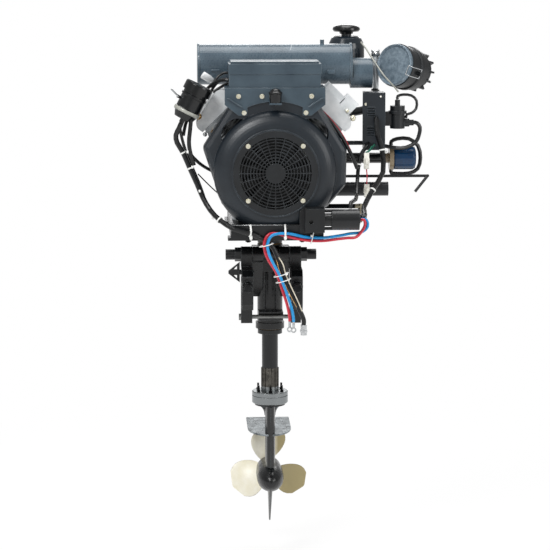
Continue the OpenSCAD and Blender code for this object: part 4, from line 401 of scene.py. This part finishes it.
# which finish each carried-over piece wears
finishOf = {
    "powderCoatSlate": ["fan_cowl", "regulator_box", "bevel_box"],
    # the pieces at the top wear the slate coat's lit copy, with the light from above painted in
    "powderCoatSlateSkyLit": ["cover_plate", "electrics_box", "box_lid"],
    "silencerPaint": ["muffler"],
    "stoveEnamelSlate": ["fuel_tank"],
    "powderCoatBlack": ["base_frame", "tilt_tube", "leg_tube", "shift_actuator", "throttle_lever",
                        "tilt_lock_lever"],
    "castingEnamelBlack": ["clamp_bracket_left", "clamp_bracket_right", "swivel_bracket", "gearcase"],
    "dieCastAluminium": ["crankcase", "cylinders", "cylinder_heads", "bearing_carrier"],
    "blastedAluminium": ["rocker_covers"],
    "brushedAluminiumSheet": ["anti_ventilation_plate"],
    "turnedSteel": ["thrust_rod", "clamp_pad_left", "clamp_pad_right", "crankshaft", "flywheel",
                    "drive_shaft", "prop_shaft", "prop_nut"],
    "oiledSteel": ["leg_casing"],
    "blackOxide": ["clamp_screw_left", "clamp_screw_right"],
    "yellowZincPlate": ["fasteners"],
    "clearZincPlate": ["filter_clip", "canister_bail", "lead_ends"],
    "platedBrass": ["drain_tap", "tap_lever"],
    "sinteredBronze": ["steering_bushes", "drive_shaft_bushes"],
    "mouldedNylon": ["fan_grille", "fan", "filter_housing", "fuel_pump"],
    "mouldedPolypropylene": ["tank_cap", "breather_canister", "canister_cap", "oil_plug"],
    "lacqueredSteel": ["filter_cover"],
    "filterEnamelBlue": ["oil_filter"],
    "nitrileRubber": ["fuel_lines", "wiring_harness"],
    "naturalNylon": ["cable_ties"],
    "propellerIvory": ["propeller"],
}

for finish, names in finishOf.items():
    for name in names:
        for slot in nodes[name].material_slots:
            slot.link = "OBJECT"
            slot.material = made[finish]
print("scene: materials on", sum(len(v) for v in finishOf.values()), "carried-over pieces")


# routes in millimetres, the same points as the part's source
leads = {
    "lead_red": {"radius": 4.0, "finish": "cableRed", "slot": "red_pvc", "farEnd": "fitting", "route": [
        (226, -336, 247), (236, -336, 245), (236, -331, 226), (216, -328, 200), (190, -323, 196),
        (166, -320, 193), (124, -318, 188), (78, -316, 190), (32, -316, 200), (-2, -316, 209),
        (-21, -318, 204), (-31, -320, 184), (-29, -320, 159), (-19, -320, 135), (-3, -320, 110),
        (8, -320, 83), (19, -320, 50), (30, -320, 15), (36, -320, -14), (37, -320, -30)]},
    "lead_blue": {"radius": 4.0, "finish": "cableBlue", "slot": "blue_pvc", "farEnd": "fitting", "route": [
        (226, -326, 247), (242, -326, 245), (245, -325, 226), (229, -319, 211), (198, -324, 208),
        (172, -324, 203), (124, -322, 197), (78, -320, 199), (38, -322, 208), (5, -326, 209),
        (-14, -328, 202), (-23, -330, 180), (-19, -330, 155), (-8, -331, 130), (5, -331, 106),
        (16, -331, 81), (29, -331, 46), (40, -331, 13), (46, -331, -14), (47, -331, -30)]},
    "lead_loom": {"radius": 6.4, "finish": "nitrileRubber", "slot": "black_rubber", "farEnd": "connector",
                  "route": [
        (-45, -311, 197), (-28, -309, 187), (-10, -308, 172), (2, -309, 150), (10, -311, 126),
        (18, -313, 99), (29, -316, 72), (45, -318, 39), (61, -318, 6), (74, -318, -24), (75, -318, -40)]},
}
# points to a span, sides, and how much slimmer a lead is drawn than the solid that it replaces
leadDrawing = {"steps": 6, "sides": 16, "slimmer": 0.985}

for name, lead in leads.items():
    path = roundedRoute(np.array(lead["route"]) / perMetre, leadDrawing["steps"])
    points, faces, uv = tubeGrid(path, lead["radius"] / perMetre * leadDrawing["slimmer"],
                                 leadDrawing["sides"])
    piece = addMesh(name + "_cable", points, faces, made[lead["finish"]], uv=uv)
    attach(piece, "outboard")
    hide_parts(name)


smallPieces = []


def assemble(name, parts, finish, body="outboard"):
    # several grids in millimetres joined into one piece that rides on a body
    points, faces, start = [], [], 0
    for grid in parts:
        points.append(np.asarray(grid[0]) / perMetre)
        faces += [[v + start for v in face] for face in grid[1]]
        start += len(grid[0])
    piece = addMesh(name, np.vstack(points), faces, made[finish])
    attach(piece, body)
    smallPieces.append(name)


# hoses and wires between fixed ends, in millimetres
hoses = {
    "breather_hose_inner": {"finish": "nitrileRubber", "radius": 5.6, "route": [
        (-225, -238, 510), (-228, -240, 480), (-231, -240, 448), (-228, -240, 421), (-218, -238, 385)]},
    "harness_branch_left": {"finish": "nitrileRubber", "radius": 4.6, "route": [
        (-226, -238, 413), (-207, -224, 392), (-188, -204, 376), (-163, -180, 360)]},
    "sensor_wire_left": {"finish": "nitrileRubber", "radius": 1.7, "route": [
        (-207, -238, 361), (-188, -226, 340), (-169, -205, 319), (-150, -180, 299)]},
    "box_cable_upper": {"finish": "nitrileRubber", "radius": 3.6, "route": [
        (-167, -174, 588), (-156, -172, 612), (-140, -170, 626), (-121, -166, 629)]},
    "box_cable_middle": {"finish": "nitrileRubber", "radius": 3.8, "route": [
        (-170, -172, 580), (-154, -171, 601), (-137, -170, 611), (-118, -166, 612)]},
    "box_cable_lower": {"finish": "nitrileRubber", "radius": 3.8, "route": [
        (-165, -176, 577), (-148, -174, 588), (-132, -172, 597), (-116, -168, 604)]},
    "injector_loom_right": {"finish": "nitrileRubber", "radius": 5.2, "route": [
        (116, -214, 536), (140, -216, 512), (162, -218, 487), (181, -216, 460), (198, -210, 432),
        (215, -196, 398), (228, -176, 368)]},
    "injector_wire_red": {"finish": "cableRed", "radius": 0.9, "route": [
        (124, -218, 536), (146, -220, 515), (168, -221, 489), (187, -219, 462), (203, -212, 432),
        (218, -197, 398)]},
    "overflow_hose": {"finish": "hoseGrey", "radius": 2.3, "route": [
        (251, -4, 701), (262, -34, 686), (280, -72, 656), (305, -110, 618), (330, -118, 590),
        (346, -108, 571)]},
    "connector_wire_red": {"finish": "cableRed", "radius": 1.6, "route": [
        (256, -150, 363), (258, -151, 342), (257, -150, 321)]},
    "connector_wire_green": {"finish": "wireGreen", "radius": 1.7, "route": [
        (279, -104, 416), (272, -138, 424), (264, -149, 414), (253, -150, 408)]},
    "connector_wire_green_back": {"finish": "wireGreen", "radius": 1.7, "route": [
        (284, -104, 416), (279, -130, 428), (270, -142, 416), (259, -148, 408)]},
    "bundle_wire_cream": {"finish": "wireCream", "radius": 1.6, "route": [
        (2, -311, 150), (18, -319, 127), (26, -321, 99), (38, -324, 70), (53, -326, 38), (66, -324, 8),
        (72, -318, -12)]},
    "bundle_wire_brass": {"finish": "bareBrass", "radius": 1.2, "route": [
        (0, -309, 150), (4, -316, 126), (12, -321, 99), (23, -325, 72), (39, -327, 40), (56, -322, 8)]},
}
hoseSteps = 8  # points to a span

for name, hose in hoses.items():
    assemble(name, [tubeGrid(roundedRoute(hose["route"], hoseSteps), hose["radius"])], hose["finish"])


# a bolt with its washer, as (radius, height) pairs
boltProfile = [(0.2, 0), (6.2, 0), (6.6, 0.5), (6.6, 2.0), (5.2, 2.4), (5.2, 6.4), (4.4, 7.4), (0.2, 7.6)]
# small fittings: where the foot is, the way it points, its size against the profile
fittings = {
    "banjo_bolts_left": {"finish": "bareBrass", "at": [
        ((-204, -187, 512), (0, -1, 0), 1.3), ((-164, -203, 471), (0, -1, 0), 1.1)]},
    "banjo_bolts_right": {"finish": "yellowZincPlate", "at": [
        ((215, -190, 506), (0, -1, 0), 1.2), ((199, -190, 526), (0, -1, 0), 0.8),
        ((256, -112, 538), (0.2, -1, 0), 0.9)]},
    "regulator_screw": {"finish": "connectorNylon", "at": [((297, -117, 559), (0, -1, 0), 0.55)]},
    "bleed_fittings": {"finish": "connectorNylon", "at": [
        ((339, -60, 503), (0.3, -1, 0.2), 1.0), ((350, -60, 553), (0, -1, 0.3), 0.7)]},
    "head_nut_left": {"finish": "clearZincPlate", "at": [((-187, -175, 462), (0, -1, 0), 0.9)]},
}


def boltGrid(foot, axis, size, sides=24):
    # the bolt's profile times its size, turned about the axis
    return turnedGrid(foot, axis, np.array(boltProfile) * size, sides)


for name, fitting in fittings.items():
    assemble(name, [boltGrid(*bolt) for bolt in fitting["at"]], fitting["finish"])


# the riser's bright sleeve, with the clamp at its top and the three screws in that
riser = {"up": (0, 0, 1), "sleeveFoot": (293, 4, 572), "sleeveSides": 32,
         "sleeve": [(7.7, 0), (8.8, 0), (9.0, 1), (9.0, 92), (8.8, 93), (7.7, 93), (7.7, 0)],
         "clampFoot": (293, 4, 662), "clampSides": 12,
         "clamp": [(0.5, 0), (11.5, 0), (12.5, 1.5), (12.5, 9), (10, 11), (10, 15), (6, 18), (0.5, 18.5)],
         "screws": [((293, -6, 668), (-0.5, -1, 0.1), 0.9), ((297, 2, 676), (0.9, -0.5, 0.5), 0.8),
                    ((286, 2, 676), (-1, -0.3, 0.4), 0.7)]}
assemble("riser_sleeve", [turnedGrid(riser["sleeveFoot"], riser["up"], riser["sleeve"],
                                     riser["sleeveSides"])], "brightSteelTube")
assemble("riser_clamp", [turnedGrid(riser["clampFoot"], riser["up"], riser["clamp"], riser["clampSides"])]
         + [boltGrid(*screw, riser["clampSides"]) for screw in riser["screws"]], "clearZincPlate")

# the breather canister's band lies along its axis, which leans 27 degrees
canisterBand = {"foot": (-238, -222, 525), "axis": (0.454, 0, 0.891), "sides": 48,
                "profile": [(36.1, 0), (37.4, 0.5), (37.4, 9.0), (36.1, 9.5), (36.1, 0)]}
assemble("canister_band", [turnedGrid(canisterBand["foot"], canisterBand["axis"], canisterBand["profile"],
                                      canisterBand["sides"])], "hoseGrey")

breatherValve = {"foot": (-193, -150, 623), "axis": (0.78, 0.1, -0.5),
                 "profile": [(1, 0), (9, 0), (10, 1.5), (10, 24), (8, 27), (8, 34), (1, 35)]}
assemble("breather_valve", [turnedGrid(breatherValve["foot"], breatherValve["axis"],
                                       breatherValve["profile"])], "blastedAluminium")

# the two white connectors, each widest in its middle third, with a latch in front: centres and sizes
connectors = {"steps": ((0, 0.7), (0.03, 0.82), (0.30, 0.82), (0.34, 1), (0.66, 1), (0.70, 0.86),
                        (0.97, 0.86), (1, 0.7)),
              "plugs": [((256, -150, 385), (17, 12, 45)), ((257, -150, 303), (18, 12, 36))],
              "latches": [((256, -158, 385), (6, 4, 16)), ((257, -158, 303), (6, 4, 12))]}
assemble("wire_connectors", [mouldedGrid(*plug, connectors["steps"]) for plug in connectors["plugs"]]
         + [mouldedGrid(*latch) for latch in connectors["latches"]], "connectorNylon")

# weld tabs on the silencer: centres and sizes
silencerTabs = [((-157, -101, 631), (25, 7, 5)), ((161, -100, 626), (22, 8, 12))]
assemble("silencer_tabs", [mouldedGrid(*tab) for tab in silencerTabs], "silencerPaint")

# flat straps over the base plate's edge, ties round the bundles, a tail, and heads on the outer side
ties = {"strapRadius": 2.6, "strapFlat": 0.4, "tieRadius": 1.4, "tailRadius": 1.2, "tailSides": 8,
        "depth": (0, 1, 0),
        "straps": [
            [(-68, -301, 231), (-68, -306, 229), (-67, -318, 219), (-67, -322, 204), (-67, -314, 190)],
            [(25, -301, 231), (25, -308, 229), (25, -326, 218), (25, -328, 204), (25, -314, 188)]],
        "strapHeads": [((-67, -321, 198), (8, 6, 8)), ((25, -328, 198), (8, 6, 8))],
        "tail": [(99, -326, 205), (101, -328, 212), (103, -329, 220)],
        # centre, half width, half depth, and the direction of the width
        "loops": [((97, -320, 195), 14.5, 7.5, (0.25, 0, 1)), ((-26, -321, 178), 19, 14, (1, 0, 0.25)),
                  ((14, -320, 97), 20, 14, (1, 0, 0.3)), ((20, -320, 81), 20, 14, (1, 0, 0.3))],
        "heads": [((28, -330, 101), (7, 5, 7)), ((96, -328, 203), (7, 5, 7)),
                  ((-235, -246, 422), (6, 5, 7)), ((-222, -246, 381), (6, 5, 7)),
                  ((-203, -250, 316), (6, 5, 7)), ((-168, -262, 244), (6, 5, 7)),
                  ((312, -120, 406), (7, 6, 7)), ((227, -200, 223), (6, 5, 6))]}
assemble("strap_ties",
         [tubeGrid(strap, ties["strapRadius"], flat=ties["strapFlat"]) for strap in ties["straps"]]
         + [tubeGrid(ties["tail"], ties["tailRadius"], ties["tailSides"])]
         + [loopGrid(*loop, ties["depth"], ties["tieRadius"]) for loop in ties["loops"]]
         + [mouldedGrid(*head) for head in ties["strapHeads"] + ties["heads"]], "naturalNylon")

# a painted highlight along the base plate's front upper edge: a thin bright zinc-coloured tube where the
# light catches that edge
edgeHighlight = {"route": [(-124, -300, 229), (-50, -300.4, 229.2), (60, -300, 229)], "radius": 0.9, "sides": 8}
assemble("base_edge_highlight", [tubeGrid(edgeHighlight["route"], edgeHighlight["radius"], edgeHighlight["sides"])],
         "clearZincPlate")
print("scene: added", len(smallPieces), "small pieces")


# in metres. To the camera the floor's share of pure white is whiten out to whiteFrom, and grows to the whole
# at whiteAt
studio = {"floorHeight": -0.80, "floorHalf": 14.0, "floorColour": "#F4F4F4", "whiten": 0.80,
          "whiteFrom": 0.6, "whiteAt": 2.2, "worldLight": 0.42}


def buildFloor(look):
    h, z = look["floorHalf"], look["floorHeight"]
    floor = addMesh("studioFloor", [(-h, -h, z), (h, -h, z), (h, h, z), (-h, h, z)], [(0, 1, 2, 3)],
                    smooth=False)
    mat = bpy.data.materials.new("paperFloor")
    mat.use_nodes = True
    tree = mat.node_tree
    tree.nodes.clear()
    ray = addNode(tree, "LightPath")
    seen = addNode(tree, "Math", {"operation": "MAXIMUM"}, {0: ray.outputs["Is Camera Ray"],
                                                            1: ray.outputs["Is Glossy Ray"]})
    seenToo = addNode(tree, "Math", {"operation": "MAXIMUM"}, {0: seen.outputs[0],
                                                               1: ray.outputs["Is Transmission Ray"]})
    # the paper is whitened all the way a few metres from the object, so that no horizon shows
    place = addNode(tree, "TexCoord")
    distance = addNode(tree, "VectorMath", {"operation": "LENGTH"}, {0: place.outputs["Object"]})
    whiteness = addNode(tree, "MapRange", {"From Min": look["whiteFrom"], "From Max": look["whiteAt"],
                                           "To Min": look["whiten"]}, {"Value": distance.outputs["Value"]})
    share = addNode(tree, "Math", {"operation": "MULTIPLY"}, {0: seenToo.outputs[0],
                                                              1: whiteness.outputs[0]})
    paper = addNode(tree, "BsdfDiffuse", {"Color": linearColour(look["floorColour"])})
    white = addNode(tree, "Emission", {"Color": (1, 1, 1, 1), "Strength": 1.0})
    mixed = addNode(tree, "MixShader", {}, {0: share.outputs[0], 1: paper.outputs[0], 2: white.outputs[0]})
    # seen from below the floor is clear, so that the underside can be looked at
    side = addNode(tree, "NewGeometry")
    clear = addNode(tree, "BsdfTransparent")
    both = addNode(tree, "MixShader", {}, {0: side.outputs["Backfacing"], 1: mixed.outputs[0],
                                           2: clear.outputs[0]})
    addNode(tree, "OutputMaterial", {}, {"Surface": both.outputs[0]})
    floor.data.materials.append(mat)


def buildWorld(look):
    # white to the camera, dimmer as a light on the object
    world = bpy.data.worlds.new("studioAir")
    bpy.context.scene.world = world
    world.use_nodes = True
    tree = world.node_tree
    tree.nodes.clear()
    ray = addNode(tree, "LightPath")
    seen = addNode(tree, "Math", {"operation": "MAXIMUM"}, {0: ray.outputs["Is Camera Ray"],
                                                            1: ray.outputs["Is Transmission Ray"]})
    strength = addNode(tree, "MapRange", {"To Min": look["worldLight"], "To Max": 1.0},
                       {"Value": seen.outputs[0]})
    air = addNode(tree, "Background", {"Color": (1, 1, 1, 1)}, {"Strength": strength.outputs[0]})
    addNode(tree, "OutputWorld", {}, {"Surface": air.outputs[0]})


# place, aim, width and height in metres, power in watts
softBoxes = {
    "keyLight": {"place": (-2.2, -3.4, 3.6), "aim": (0, 0, 0.2), "size": (2.0, 2.0), "power": 165},
    "fillLight": {"place": (3.4, -2.6, 1.6), "aim": (0, 0, 0.2), "size": (1.6, 2.2), "power": 50},
    "topLight": {"place": (0.2, 0.4, 4.2), "aim": (0, 0, 0), "size": (2.6, 2.6), "power": 95},
    "backLight": {"place": (0.6, 4.0, 2.2), "aim": (0, 0, 0.2), "size": (2.6, 2.0), "power": 60},
}


def hangLights(boxes):
    for name, box in boxes.items():
        lamp = bpy.data.lights.new(name, "AREA")
        lamp.shape = "RECTANGLE"
        lamp.size, lamp.size_y = box["size"]
        lamp.energy = box["power"]
        holder = bpy.data.objects.new(name, lamp)
        holder.visible_camera = False
        bpy.context.scene.collection.objects.link(holder)
        pointAt(holder, box["place"], box["aim"])


buildFloor(studio)
buildWorld(studio)
hangLights(softBoxes)
bpy.context.scene.view_settings.view_transform = "Standard"
print("scene: floor and lights set")
